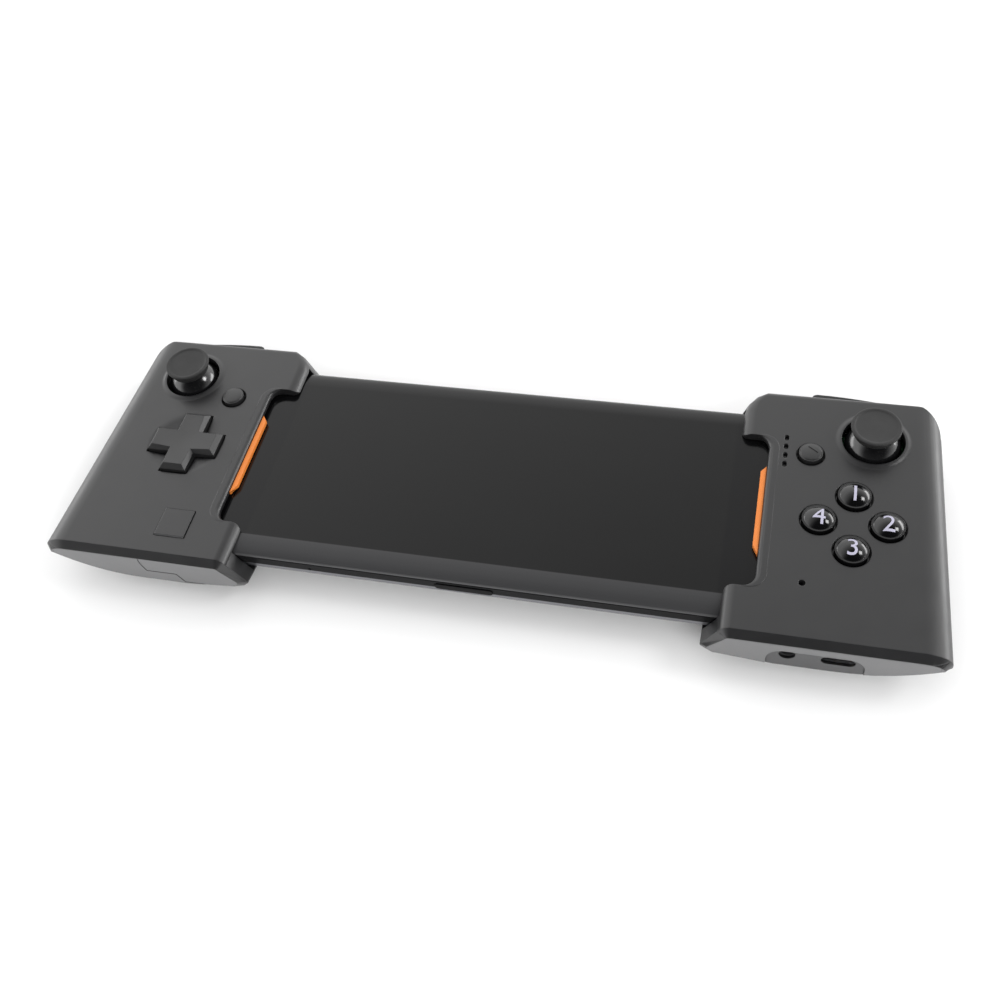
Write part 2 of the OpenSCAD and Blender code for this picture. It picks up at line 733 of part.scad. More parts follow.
module bridge_cover() {
    y = bridge_w / 2;
    difference() {
        span([-bridge_end, -y, channel_z + channel_t], [lip_x - 1.4, y, bridge_z + bridge_t]);
        span([-bridge_end - 1, -4.6, 0], [1.6 - bridge_end, 4.6, 20]);
    }
}

module bridge_tongue() {
    w = tongue_w / 2;
    span([tongue_end + 1, 2 - w, tongue_z], [bridge_end, w - 2, tongue_z + tongue_t]);
    span([bay_x - 12, -w, tongue_z], [bridge_end, w, tongue_z + tongue_t]);
    span([tongue_end, -w, tongue_z], [tongue_end + 4, w, tongue_z + tongue_t]);
    for (s = [-1, 1])
        span([tongue_end - 1.4, 12 * s - 0.5, tongue_z], [tongue_end + 1, 12 * s + 0.5, tongue_z + 0.5]);
}

module bridge_springs() {
    x0 = 6.2 - lip_x;
    for (s = [-1, 1]) {
        translate([x0, 12 * s, channel_z + channel_t / 2]) rotate([0, 90, 0])
            loft(coil(0.62, 0.2, tongue_end - 1.6 - x0, 14, 10, 4));
        rod_x(x0 - 0.25, x0 + 0.4, 12 * s, channel_z + channel_t / 2, 0.6);
        rod_x(tongue_end - 2, tongue_end - 1.45, 12 * s, channel_z + channel_t / 2, 0.6);
    }
}

// Flat cable along the bridge, bent up to each board.
module bridge_ribbon() {
    z = tongue_z + tongue_t + 0.06;
    span([-bridge_end, -4, z], [bridge_end, 4, z + 0.14]);
    for (s = [-1, 1]) span([s * bridge_end - 0.1, -4, z], [s * bridge_end + 0.1, 4, board_z - 0.1]);
}

// Ports and small electrics of the right grip

module light_pipe() {
    span([led_x - 1.1, led_at[0] - 1.6, plate_z - 1.4], [led_x + 1.2, led_at[3] + 1.6, plate_z]);
    for (y = led_at) translate([led_x, y, plate_z - 0.5])
        linear_extrude(wall - 0.4) round_rect(1.2, 2, 0.55);
}

module microphone() translate([mic_at[0], mic_at[1], plate_z - 1.6]) cylinder(h = 1.6, r = 2);

module port_panel() {
    y0 = panel_in - near_reach;
    difference() {
        intersection() {
            prism_y(y0, y0 + panel_t) panel_outline(0.05);
            grip_body();
        }
        rod_y(y0 - 1, y0 + 2, jack_x, jack_z, 2.15);
        translate([usb_x, y0 + 2, usb_z]) rotate([90, 0, 0]) linear_extrude(4) round_rect(8.8, 3.1, 1.5);
    }
}

module audio_jack() {
    y0 = panel_in + panel_t - near_reach;
    difference() {
        span([jack_x - 3.5, y0 + 0.05, jack_z - 2.8], [jack_x + 3.5, y0 + 14, jack_z + 2.8]);
        rod_y(y0 - 1, y0 + 13, jack_x, jack_z, jack_r);
    }
    span([jack_x - 1.6, y0 + 13.3, board_z], [jack_x + 3.5, y0 + 16.6, board_z + 1.2]);
}

module charge_port() {
    y0 = panel_in + panel_t - near_reach;
    translate([usb_x, 0, usb_z]) {
        difference() {
            prism_y(y0 + 0.05, y0 + 7.5) round_rect(9, 3.3, 1.6);
            prism_y(y0 - 1, y0 + 6.7) round_rect(8.4, 2.7, 1.3);
        }
        span([-3.35, y0 + 1, -0.35], [3.35, y0 + 7, 0.35]);
    }
    span([usb_x - 4, y0 + 6.5, board_z], [usb_x + 4, y0 + 10, board_z + 1]);
}

// Plug that reaches into the phone's port.
module dock_plug() {
    translate([0, 0, phone_mid]) {
        difference() {
            prism_x(phone_end - 6.4, cav_x + 1) round_rect(8.25, 2.4, 1.15);
            prism_x(phone_end - 7, phone_end - 1.2) round_rect(7.4, 1.5, 0.7);
        }
    }
    span([cav_x + 0.1, -6, board_z], [cav_x + 5.2, 6, phone_mid + 1.9]);
}

// Phone

// Plan outline of the phone.
module phone_plan(in) round_rect(phone_l - 2 * in, phone_w - 2 * in, phone_r - in);

// Cross-section between two heights with the long edges rolled.
function phone_section(z0, z1, w0, w1, roll) =
    let (a = ell([w1 - roll, z0], roll, z1 - z0, 0, 90, 8)) concat(
        [[-w0, z0], [w0, z0]], [for (p = a) p], [for (i = [8:-1:0]) [-a[i][0], a[i][1]]]);

module phone_glass() {
    z0 = phone_top - 1.9;
    w = phone_w / 2 - 0.25;
    intersection() {
        translate([0, 0, z0]) linear_extrude(3) phone_plan(0.25);
        prism_x(-phone_end, phone_end) polygon(phone_section(z0, phone_top, w, w, glass_roll));
    }
}

module phone_frame() {
    z0 = phone_z + 1.9;
    z1 = phone_top - 1.9;
    difference() {
        translate([0, 0, z0]) linear_extrude(z1 - z0) phone_plan(0);
        translate([0, 0, phone_mid]) prism_x(phone_end - 7.2, phone_end + 1) round_rect(8.9, 3, 1.45);
        rod_y(-phone_w, 1 - phone_w / 2, -47.5, phone_mid, 0.45);
        side_key_place() linear_extrude(3) round_rect(17.4, 2.6, 1.25);
    }
}

module phone_back() {
    w = phone_w / 2 - 0.25;
    intersection() {
        translate([0, 0, phone_z - 1]) linear_extrude(2.9) phone_plan(0.25);
        translate([0, 0, 2 * phone_z + 1.9]) mirror([0, 0, 1]) prism_x(-phone_end, phone_end)
            polygon(phone_section(phone_z, phone_z + 1.9, w, w, glass_roll));
    }
}

// Where the side key sits in the near side of the frame.
module side_key_place() translate([-0.7, 1 - phone_w / 2, phone_mid + 0.1]) rotate([90, 0, 0]) children();

module phone_side_key() side_key_place() linear_extrude(1.3) round_rect(17.2, 2.4, 1.15);

// Assembly

shell_c = [0.3, 0.3, 0.31];
dark_c = [0.12, 0.12, 0.13];
orange_c = [0.9, 0.45, 0.15];
steel_c = [0.7, 0.7, 0.72];
board_c = [0.1, 0.3, 0.18];
glass_c = [0.05, 0.05, 0.06];

color(shell_c) left() front_shell(true);  // left_front_shell
color(shell_c) left() rear_shell(true);  // left_rear_shell
color(orange_c) left() bay_trim();  // left_bay_trim
color(shell_c) left() tile();  // left_tile
color(board_c) left() circuit_board(true);  // left_circuit_board
color(dark_c) left() keypad(true);  // left_keypad
color(dark_c) left() stick_base();  // left_stick_base
color(steel_c) left() stick_ring();  // left_stick_ring
color(dark_c) left() stick_stem();  // left_stick_stem
color(dark_c) left() stick_cap();  // left_stick_cap
color(dark_c) left() dpad_base();
color(steel_c) left() dpad_pivot();
color(shell_c) left() dpad();
color(dark_c) left() push_button(menu_x, menu_y, menu_r, 1.4, 0.72, 6);  // menu_button
color(dark_c) left() bumper();  // left_bumper
color(dark_c) left() trigger();  // left_trigger
color(steel_c) left() trigger_pin();  // left_trigger_pin
color(steel_c) left() trigger_spring();  // left_trigger_spring
color(steel_c) left() case_screws();  // left_case_screws
color(dark_c) right() bridge_tray();
color(dark_c) right() bridge_cover();
color(steel_c) right() bridge_tongue();
color(steel_c) right() bridge_springs();
color(orange_c) right() bridge_ribbon();
color(shell_c) right() front_shell(false);  // right_front_shell
color(shell_c) right() rear_shell(false);  // right_rear_shell
color(orange_c) right() bay_trim();  // right_bay_trim
color(board_c) right() circuit_board(false);  // right_circuit_board
color(dark_c) right() keypad(false);  // right_keypad
color(dark_c) right() stick_base();  // right_stick_base
color(steel_c) right() stick_ring();  // right_stick_ring
color(dark_c) right() stick_stem();  // right_stick_stem
color(dark_c) right() stick_cap();  // right_stick_cap
color(dark_c) right() face_button(face_at[0]);  // face_button_north
color(dark_c) right() face_button(face_at[1]);  // face_button_east
color(dark_c) right() face_button(face_at[2]);  // face_button_south
color(dark_c) right() face_button(face_at[3]);  // face_button_west
color(dark_c) right() push_button(menu_x, menu_y, menu_r, 1.4, 0.72, 6);  // start_button
color(steel_c) right() light_pipe();
color(steel_c) right() microphone();
color(shell_c) right() port_panel();
color(dark_c) right() audio_jack();
color(steel_c) right() charge_port();
color(dark_c) right() dock_plug();
color(dark_c) right() bumper();  // right_bumper
color(dark_c) right() trigger();  // right_trigger
color(steel_c) right() trigger_pin();  // right_trigger_pin
color(steel_c) right() trigger_spring();  // right_trigger_spring
color(steel_c) right() case_screws();  // right_case_screws
color(steel_c) right() phone_frame();
color(glass_c) right() phone_glass();
color(glass_c) right() phone_back();
color(dark_c) right() phone_side_key();
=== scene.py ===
"""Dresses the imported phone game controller: finishes, softened mouldings, printed marks, light, camera."""

from __future__ import annotations

import json
import logging
import math
from collections.abc import Callable
from dataclasses import dataclass, field
from enum import Enum

import bmesh
import bpy
from mathutils import Matrix, Vector
from mathutils.bvhtree import BVHTree

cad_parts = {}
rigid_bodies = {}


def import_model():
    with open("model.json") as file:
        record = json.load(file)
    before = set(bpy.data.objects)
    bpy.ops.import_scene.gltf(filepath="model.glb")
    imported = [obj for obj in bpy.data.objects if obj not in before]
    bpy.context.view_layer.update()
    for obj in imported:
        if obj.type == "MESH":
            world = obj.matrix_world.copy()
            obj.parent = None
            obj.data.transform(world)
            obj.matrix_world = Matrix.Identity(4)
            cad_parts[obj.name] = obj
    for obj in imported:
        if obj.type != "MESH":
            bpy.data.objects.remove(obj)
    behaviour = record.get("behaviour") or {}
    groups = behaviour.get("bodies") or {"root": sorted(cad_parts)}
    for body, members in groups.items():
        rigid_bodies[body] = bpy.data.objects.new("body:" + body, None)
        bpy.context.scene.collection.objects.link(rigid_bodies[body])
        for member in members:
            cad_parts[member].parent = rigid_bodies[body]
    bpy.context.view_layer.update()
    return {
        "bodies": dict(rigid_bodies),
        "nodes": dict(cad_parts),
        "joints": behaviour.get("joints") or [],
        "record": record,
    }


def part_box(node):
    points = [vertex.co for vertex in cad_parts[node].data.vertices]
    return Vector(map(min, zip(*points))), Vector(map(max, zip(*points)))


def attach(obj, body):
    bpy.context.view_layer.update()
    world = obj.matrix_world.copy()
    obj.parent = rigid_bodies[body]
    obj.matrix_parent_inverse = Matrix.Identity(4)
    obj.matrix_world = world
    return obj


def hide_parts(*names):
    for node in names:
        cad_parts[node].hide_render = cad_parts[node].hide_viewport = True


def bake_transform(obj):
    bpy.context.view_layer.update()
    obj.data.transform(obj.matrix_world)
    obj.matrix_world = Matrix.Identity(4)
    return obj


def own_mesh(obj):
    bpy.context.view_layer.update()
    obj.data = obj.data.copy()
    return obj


LOG = logging.getLogger("controller")
MM = 0.001
UM = 1e-6
# Points of a CAD mesh that lie closer than this are one point.
WELD = 2e-6
# Faces of a CAD mesh that turn by fewer degrees than this are one face.
FLAT = 0.4
# Edges that turn by more degrees than this stay sharp, on moulded and on turned pieces.
SHARP = 35.0
SHARP_TURNED = 40.0


class Slot(Enum):
    """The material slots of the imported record."""

    SHELL = "shell_plastic"
    TRIM = "trim_silicone"
    BOARD = "board_laminate"
    KEYPAD = "keypad_silicone"
    NYLON = "nylon"
    DOME = "dome_plastic"
    CAP = "cap_rubber"
    PAD = "pad_plastic"
    FACE = "face_gloss"
    TRIGGER = "trigger_plastic"
    STEEL = "steel"
    RIBBON = "ribbon_film"
    ACRYLIC = "light_acrylic"
    PHONE_METAL = "phone_metal"
    PHONE_GLASS = "phone_glass"
    KEY = "key_black"


class Side(Enum):
    """The two grips, with the sign of their X."""

    LEFT = -1
    RIGHT = 1

    @property
    def word(self) -> str:
        """The side's name in node and body names."""
        return self.name.lower()


# Nodes


def linear(hex_colour: str) -> tuple[float, float, float, float]:
    """Turns an sRGB hex colour into linear RGBA.

    Args:
        hex_colour: Six hex digits, with or without a leading hash.

    Returns:
        Red, green, blue and an alpha of one.
    """
    digits = hex_colour.lstrip("#")
    parts = [int(digits[i : i + 2], 16) / 255 for i in (0, 2, 4)]
    return (*((c / 12.92 if c <= 0.04045 else ((c + 0.055) / 1.055) ** 2.4) for c in parts), 1.0)


def per_mm(size_mm: float) -> float:
    """The texture scale, in repeats per metre, of a pattern of that size in millimetres."""
    return 1.0 / (size_mm * MM)


def add_node(tree: bpy.types.NodeTree, kind: str, settings: dict | None = None,
             links: dict | None = None) -> bpy.types.Node:
    """Adds one node to a tree.

    Args:
        tree: The node tree.
        kind: The node's type name.
        settings: Its properties by attribute name, or input values by socket name or number.
        links: Output sockets by the name or number of the input that each feeds.

    Returns:
        The new node.
    """
    node = tree.nodes.new(kind)
    for key, value in (settings or {}).items():
        if isinstance(key, str) and hasattr(node, key):
            setattr(node, key, value)
        else:
            node.inputs[key].default_value = value
    for key, socket in (links or {}).items():
        tree.links.new(socket, node.inputs[key])
    return node


MaterialParts = tuple[bpy.types.Material, bpy.types.NodeTree, bpy.types.Node, bpy.types.NodeSocket]


def new_material(name: str) -> MaterialParts:
    """Starts a material.

    Args:
        name: Its name.

    Returns:
        The material, its tree, its Principled shader and the Object coordinate socket.
    """
    material = bpy.data.materials.new(name)
    material.use_nodes = True
    tree = material.node_tree
    shader = next(n for n in tree.nodes if n.type == "BSDF_PRINCIPLED")
    place = add_node(tree, "ShaderNodeTexCoord").outputs["Object"]
    return material, tree, shader, place


# Finishes


# Nearly all values of a noise texture lie in this span.
NOISE_SPAN = {"From Min": 0.3, "From Max": 0.7}


@dataclass(frozen=True)
class Moulded:
    """A moulded polymer: a mottled colour, uneven gloss, and the fine grain of its mould.

    The grain is drawn coarser than the real 0.1 mm texture so that it shows in the render. A paler tone
    painted on the near end faces stands for the light that they catch from the bright floor; it fades in
    between two values of the normal's Y.
    """

    name: str
    colour: str
    mottle: str
    roughness: tuple[float, float]
    grain_mm: float = 0.45
    grain_um: float = 9.0
    mottle_mm: float = 7.0
    edge_mm: float = 0.0
    ior: float = 1.5
    coat: float = 0.0
    coat_roughness: float = 0.1
    specular: float = 0.5
    # Painted light: a paler tone on the end faces towards -Y, beyond a Y limit and between two normal
    # values.
    end_tone: str = ""
    end_from_mm: float = -36.0
    end_turn: tuple[float, float] = (-0.82, -0.93)

    def build(self) -> bpy.types.Material:
        """Makes the material.

        Returns:
            The material.
        """
        material, tree, shader, place = new_material(self.name)
        shader.inputs["IOR"].default_value = self.ior
        shader.inputs["Specular IOR Level"].default_value = self.specular
        shader.inputs["Coat Weight"].default_value = self.coat
        shader.inputs["Coat Roughness"].default_value = self.coat_roughness
        cloud = add_node(tree, "ShaderNodeTexNoise", {"Scale": per_mm(self.mottle_mm), "Detail": 3.0},
                         {"Vector": place})
        tone = add_node(tree, "ShaderNodeMix",
                        {"data_type": "RGBA", 6: linear(self.colour), 7: linear(self.mottle)},
                        {0: cloud.outputs["Fac"]})
        # Near end faces get a paler tone, painted light for the bright floor that they face.
        colour = self.end_faces(tree, tone.outputs[2], place) if self.end_tone else tone.outputs[2]
        tree.links.new(colour, shader.inputs["Base Color"])
        grain = add_node(tree, "ShaderNodeTexNoise", {"Scale": per_mm(self.grain_mm), "Detail": 2.0},
                         {"Vector": place})
        low, high = self.roughness
        gloss = add_node(tree, "ShaderNodeMapRange", {**NOISE_SPAN, "To Min": low, "To Max": high},
                         {"Value": cloud.outputs["Fac"]})
        tree.links.new(gloss.outputs["Result"], shader.inputs["Roughness"])
        bump = add_node(tree, "ShaderNodeBump", {"Strength": 1.0, "Distance": self.grain_um * UM},
                        {"Height": grain.outputs["Fac"]})
        if self.edge_mm:
            edge = add_node(tree, "ShaderNodeBevel", {"samples": 4, "Radius": self.edge_mm * MM})
            tree.links.new(edge.outputs["Normal"], bump.inputs["Normal"])
        tree.links.new(bump.outputs["Normal"], shader.inputs["Normal"])
        return material

    def end_faces(self, tree: bpy.types.NodeTree, colour: bpy.types.NodeSocket,
                  place: bpy.types.NodeSocket) -> bpy.types.NodeSocket:
        """Paints the end faces towards -Y a paler grey: painted light for the bright floor that they face.

        Args:
            tree: The material's tree.
            colour: The colour elsewhere.
            place: The Object coordinate.

        Returns:
            The colour with the painted light on the end faces.
        """
        normal = add_node(tree, "ShaderNodeTexCoord").outputs["Normal"]
        turned = add_node(tree, "ShaderNodeSeparateXYZ", None, {"Vector": normal}).outputs["Y"]
        none, full = self.end_turn
        faces = add_node(tree, "ShaderNodeMapRange", {"From Min": none, "From Max": full},
                         {"Value": turned})
        along = add_node(tree, "ShaderNodeSeparateXYZ", None, {"Vector": place}).outputs["Y"]
        limit = self.end_from_mm * MM
        near = add_node(tree, "ShaderNodeMapRange", {"From Min": limit, "From Max": limit - MM},
                        {"Value": along})
        both = add_node(tree, "ShaderNodeMath", {"operation": "MULTIPLY"},
                        {0: faces.outputs["Result"], 1: near.outputs["Result"]})
        mixed = add_node(tree, "ShaderNodeMix", {"data_type": "RGBA", 7: linear(self.end_tone)},
                         {0: both.outputs[0], 6: colour})
        return mixed.outputs[2]


@dataclass(frozen=True)
class Metal:
    """A metal surface: bead blasted, or drawn with fine lines along one axis.

    It may have a dark lacquer above a height.
    """

    name: str
    colour: str
    roughness: tuple[float, float]
    line_mm: tuple[float, float, float] = (0.5, 0.5, 0.5)
    grain_um: float = 3.0
    lacquer: str = ""
    lacquer_from_mm: float = 0.0
    lacquer_fade_mm: float = 0.1
    lacquer_specular: float = 0.08

    def build(self) -> bpy.types.Material:
        """Makes the material.

        Returns:
            The material.
        """
        material, tree, shader, place = new_material(self.name)
        shader.inputs["Metallic"].default_value = 1.0
        shader.inputs["Base Color"].default_value = linear(self.colour)
        if self.lacquer:
            shader.inputs["Specular IOR Level"].default_value = self.lacquer_specular
            self.coat(tree, shader, place)
        turned = add_node(tree, "ShaderNodeMapping", {"Scale": tuple(per_mm(s) for s in self.line_mm)},
                          {"Vector": place})
        lines = add_node(tree, "ShaderNodeTexNoise", {"Scale": 1.0, "Detail": 3.0},
                         {"Vector": turned.outputs["Vector"]})
        low, high = self.roughness
        gloss = add_node(tree, "ShaderNodeMapRange", {**NOISE_SPAN, "To Min": low, "To Max": high},
                         {"Value": lines.outputs["Fac"]})
        tree.links.new(gloss.outputs["Result"], shader.inputs["Roughness"])
        bump = add_node(tree, "ShaderNodeBump", {"Strength": 1.0, "Distance": self.grain_um * UM},
                        {"Height": lines.outputs["Fac"]})
        tree.links.new(bump.outputs["Normal"], shader.inputs["Normal"])
        return material

    def coat(self, tree: bpy.types.NodeTree, shader: bpy.types.Node, place: bpy.types.NodeSocket) -> None:
        """Covers the metal above a height with dark lacquer.

        Args:
            tree: The material's tree.
            shader: Its shader.
            place: The Object coordinate.
        """
        height = add_node(tree, "ShaderNodeSeparateXYZ", None, {"Vector": place}).outputs["Z"]
        start, end = self.lacquer_from_mm * MM, (self.lacquer_from_mm + self.lacquer_fade_mm) * MM
        cover = add_node(tree, "ShaderNodeMapRange", {"From Min": start, "From Max": end},
                         {"Value": height})
        tone = add_node(tree, "ShaderNodeMix",
                        {"data_type": "RGBA", 6: linear(self.colour), 7: linear(self.lacquer)},
                        {0: cover.outputs["Result"]})
        tree.links.new(tone.outputs[2], shader.inputs["Base Color"])
        bare = add_node(tree, "ShaderNodeMath", {"operation": "SUBTRACT", 0: 1.0},
                        {1: cover.outputs["Result"]})
        tree.links.new(bare.outputs[0], shader.inputs["Metallic"])


@dataclass(frozen=True)
class CoverGlass:
    """Polished cover glass over a dark display, with printed borders and faint wiped smears.

    A black border lies beyond each end of the display. A paler band, painted reflection of the curved
    glass edge, and a still paler rim, a painted highlight on that edge, run along its near side, from
    their distances to its middle line.
    """

    name: str
    display: str
    border: str
    half_length_mm: float
    centre_y_mm: float
    band: str
    band_mm: float
    rim: str
    rim_mm: float
    specular: float = 0.4
    border_fade_mm: float = 0.25
    band_fade_mm: float = 0.3
    rim_fade_mm: float = 0.2
    smear_mm: tuple[float, float, float] = (40.0, 9.0, 9.0)
    roughness: tuple[float, float] = (0.1, 0.2)

    def build(self) -> bpy.types.Material:
        """Makes the material.

        Returns:
            The material.
        """
        material, tree, shader, place = new_material(self.name)
        shader.inputs["IOR"].default_value = 1.5
        shader.inputs["Specular IOR Level"].default_value = self.specular
        xyz = add_node(tree, "ShaderNodeSeparateXYZ", None, {"Vector": place})
        along = add_node(tree, "ShaderNodeMath", {"operation": "ABSOLUTE"}, {0: xyz.outputs["X"]})
        across = add_node(tree, "ShaderNodeMath", {"operation": "SUBTRACT", 0: self.centre_y_mm * MM},
                          {1: xyz.outputs["Y"]})
        tone = None
        # The border is print; the band and the rim are painted reflection and a painted highlight on the
        # near side.
        for ink, distance, start_mm, fade_mm in (
                (self.border, along, self.half_length_mm, self.border_fade_mm),
                (self.band, across, self.band_mm, self.band_fade_mm),
                (self.rim, across, self.rim_mm, self.rim_fade_mm)):
            cover = add_node(tree, "ShaderNodeMapRange",
                             {"From Min": start_mm * MM, "From Max": (start_mm + fade_mm) * MM},
                             {"Value": distance.outputs[0]})
            links = {0: cover.outputs["Result"]}
            if tone is not None:
                links[6] = tone.outputs[2]
            tone = add_node(tree, "ShaderNodeMix",
                            {"data_type": "RGBA", 6: linear(self.display), 7: linear(ink)}, links)
        tree.links.new(tone.outputs[2], shader.inputs["Base Color"])
        smear = add_node(tree, "ShaderNodeMapping", {"Scale": tuple(per_mm(s) for s in self.smear_mm)},
                         {"Vector": place})
        wiped = add_node(tree, "ShaderNodeTexNoise", {"Scale": 1.0, "Detail": 4.0},
                         {"Vector": smear.outputs["Vector"]})
        low, high = self.roughness
        gloss = add_node(tree, "ShaderNodeMapRange",
                         {"From Min": 0.35, "From Max": 0.7, "To Min": low, "To Max": high},
                         {"Value": wiped.outputs["Fac"]})
        tree.links.new(gloss.outputs["Result"], shader.inputs["Roughness"])
        return material


@dataclass(frozen=True)
class Striped:
    """A sheet with fine parallel lines, such as a film with conductors or a board with tracks."""

    name: str
    ground: str
    line: str
    pitch_mm: float
    axis: str
    roughness: float
    relief_um: float = 20.0

    def build(self) -> bpy.types.Material:
        """Makes the material.

        Returns:
            The material.
        """
        material, tree, shader, place = new_material(self.name)
        shader.inputs["Roughness"].default_value = self.roughness
        # A wave texture repeats every pi / 10 of its scaled coordinate.
        scale = per_mm(self.pitch_mm) * math.pi / 10
        wave = add_node(tree, "ShaderNodeTexWave",
                        {"bands_direction": self.axis, "Scale": scale, "Distortion": 0.0}, {"Vector": place})
        sharp = add_node(tree, "ShaderNodeMapRange", {"From Min": 0.45, "From Max": 0.55},
                         {"Value": wave.outputs["Fac"]})
        tone = add_node(tree, "ShaderNodeMix",
                        {"data_type": "RGBA", 6: linear(self.ground), 7: linear(self.line)},
                        {0: sharp.outputs["Result"]})
        tree.links.new(tone.outputs[2], shader.inputs["Base Color"])
        bump = add_node(tree, "ShaderNodeBump", {"Strength": 0.6, "Distance": self.relief_um * UM},
                        {"Height": sharp.outputs["Result"]})
        tree.links.new(bump.outputs["Normal"], shader.inputs["Normal"])
        return material


# Matt ABS from a spark-eroded mould: soft broad highlights, no clear reflection. The paler tone of its
# near end faces is painted light for the bright floor that they face.
SHELL_ABS = Moulded("abs_spark_eroded_black", "1b1b1c", "1d1d1e", (0.33, 0.39), edge_mm=0.35, specular=1.0,
                    end_tone="626263")
# The direction pad and small keys: the same ABS from a finer mould, a little smoother.
PAD_ABS = Moulded("abs_fine_satin_black", "1d1d1e", "1f1f1f", (0.36, 0.42), grain_um=5.0, edge_mm=0.3,
                  specular=1.0)
# Triggers and bumpers: ABS from the same tool, rubbed a little smoother by fingers. The paler tone of
# its near end faces, such as the port panel, is painted light.
TRIGGER_ABS = Moulded("abs_satin_black", "141415", "171718", (0.44, 0.52), grain_um=6.0, edge_mm=0.3,
                      specular=0.7, end_tone="464647")
# Thermoplastic rubber on the stick caps: dusty black with no clear highlight.
CAP_TPE = Moulded("tpe_soft_matt_black", "232323", "272727", (0.6, 0.74), grain_mm=0.3, grain_um=14.0,
                  specular=0.8)
# Acetal dome under each cap: satin black, polished by running in its hole.
DOME_POM = Moulded("acetal_polished_black", "0f0f10", "131314", (0.14, 0.2), grain_um=0.8, specular=1.0,
                   coat=0.5)
# Clear polycarbonate over black print: deep gloss with a crisp highlight.
FACE_PC = Moulded("polycarbonate_gloss_black", "09090a", "0c0c0d", (0.1, 0.16), grain_um=0.6, ior=1.58,
                  coat=0.4, coat_roughness=0.05, edge_mm=0.15)
# Cast silicone strip, coloured through: satin orange.
TRIM_SILICONE = Moulded("silicone_orange", "dd7c30", "e08238", (0.45, 0.55), grain_um=5.0, mottle_mm=4.0,
                        edge_mm=0.2)
# Glass-filled nylon for the bridge and the inner mechanisms: dry black.
NYLON_BLACK = Moulded("nylon_glass_filled_black", "262627", "303031", (0.5, 0.62), grain_um=12.0,
                      edge_mm=0.2)
# Translucent grey silicone of the key mats: dull and dusty.
KEYPAD_SILICONE = Moulded("silicone_grey", "7b7b7d", "858587", (0.6, 0.72))
# Smoked acrylic light pipe: smooth dark windows.
SMOKED_ACRYLIC = Moulded("acrylic_smoked", "0e0e0f", "131314", (0.2, 0.28), grain_um=0.8, ior=1.49)
# Satin black anodised side key of the phone: almost no highlight.
KEY_BLACK = Moulded("anodised_black_key", "050506", "080809", (0.3, 0.38), grain_um=3.0, edge_mm=0.15,
                    specular=0.1)
# White pad-printed ink with a cool cast, slightly uneven in cover.
PAD_INK = Moulded("pad_ink_white", "b4b2c4", "aba9bb", (0.42, 0.5), grain_um=4.0, mottle_mm=1.2)
# Dark pad-printed ink on the start key: flat and dull.
DARK_INK = Moulded("pad_ink_dark", "050505", "070707", (0.6, 0.7), grain_um=4.0, mottle_mm=1.2)
# Cold-drawn steel of pins, springs, screws and the tongue: bright, with fine lines along X.
DRAWN_STEEL = Metal("steel_drawn_bright", "b9b9bc", (0.24, 0.38), (6.0, 0.3, 0.3))
# Bead-blasted anodised aluminium phone frame: even silver, with a black lacquered rail above.
BLASTED_ALUMINIUM = Metal("aluminium_blasted_silver", "8a8a8e", (0.34, 0.42), (0.4, 0.4, 0.4), 1.0,
                          lacquer="141415", lacquer_from_mm=10.4)
# Gold flash on the contacts of the ports: warm and bright.
GOLD_FLASH = Metal("gold_flash", "d8b064", (0.22, 0.34), (0.4, 0.2, 0.4))
# Cover glass over a display that is off: near-black, with a paler band of painted reflection on the
# viewer's side and a painted highlight along its edge.
COVER_GLASS = CoverGlass("cover_glass_over_black", display="0e0e0e", border="09090a", half_length_mm=69.2,
                         centre_y_mm=-1.9, band="383839", band_mm=29.6, rim="4a4a4b", rim_mm=36.0)
# Green solder mask over copper tracks: satin, with raised lines.
SOLDER_MASK = Striped("solder_mask_green", "1c4a2c", "24603a", 0.8, "X", 0.4)
# Amber polyimide film over copper conductors: smooth, with raised lines.
RIBBON_FILM = Striped("polyimide_film_amber", "a86a1c", "c98a3a", 0.5, "Y", 0.35)


# Meshes


EdgeRule = Callable[[Vector, Vector], bool]


def soften_mesh(source: bpy.types.Object, name: str, width_mm: float, segments: int = 2,
                angle: float = SHARP, wide: tuple[float, EdgeRule] | None = None) -> bpy.types.Object:
    """Copies a CAD node as one welded skin with small rounded edges.

    Args:
        source: The CAD node.
        name: Name of the new piece.
        width_mm: Width of the rounded edges, or zero for none.
        segments: Steps across a rounded edge.
        angle: Edges that turn by more than this many degrees are rounded.
        wide: Width in millimetres of a wider round, and the rule that picks its edges.

    Returns:
        The new object, linked to the scene.
    """
    skin = bmesh.new()
    skin.from_mesh(source.data)
    bmesh.ops.remove_doubles(skin, verts=skin.verts, dist=WELD)
    bmesh.ops.dissolve_limit(skin, angle_limit=math.radians(FLAT), verts=skin.verts, edges=skin.edges)
    piece = skin_piece(name, skin)
    if wide:
        round_edges(piece, *wide)
    if width_mm:
        bevel = piece.modifiers.new("rounded_edges", "BEVEL")
        bevel.width = width_mm * MM
        bevel.segments = segments
        bevel.limit_method = "ANGLE"
        bevel.angle_limit = math.radians(angle)
        bevel.use_clamp_overlap = True
        bake_modifiers(piece)
    smooth_by_angle(piece, angle)
    flatten = piece.modifiers.new("flat_faces_stay_flat", "WEIGHTED_NORMAL")
    flatten.keep_sharp = True
    bake_modifiers(piece)
    return piece


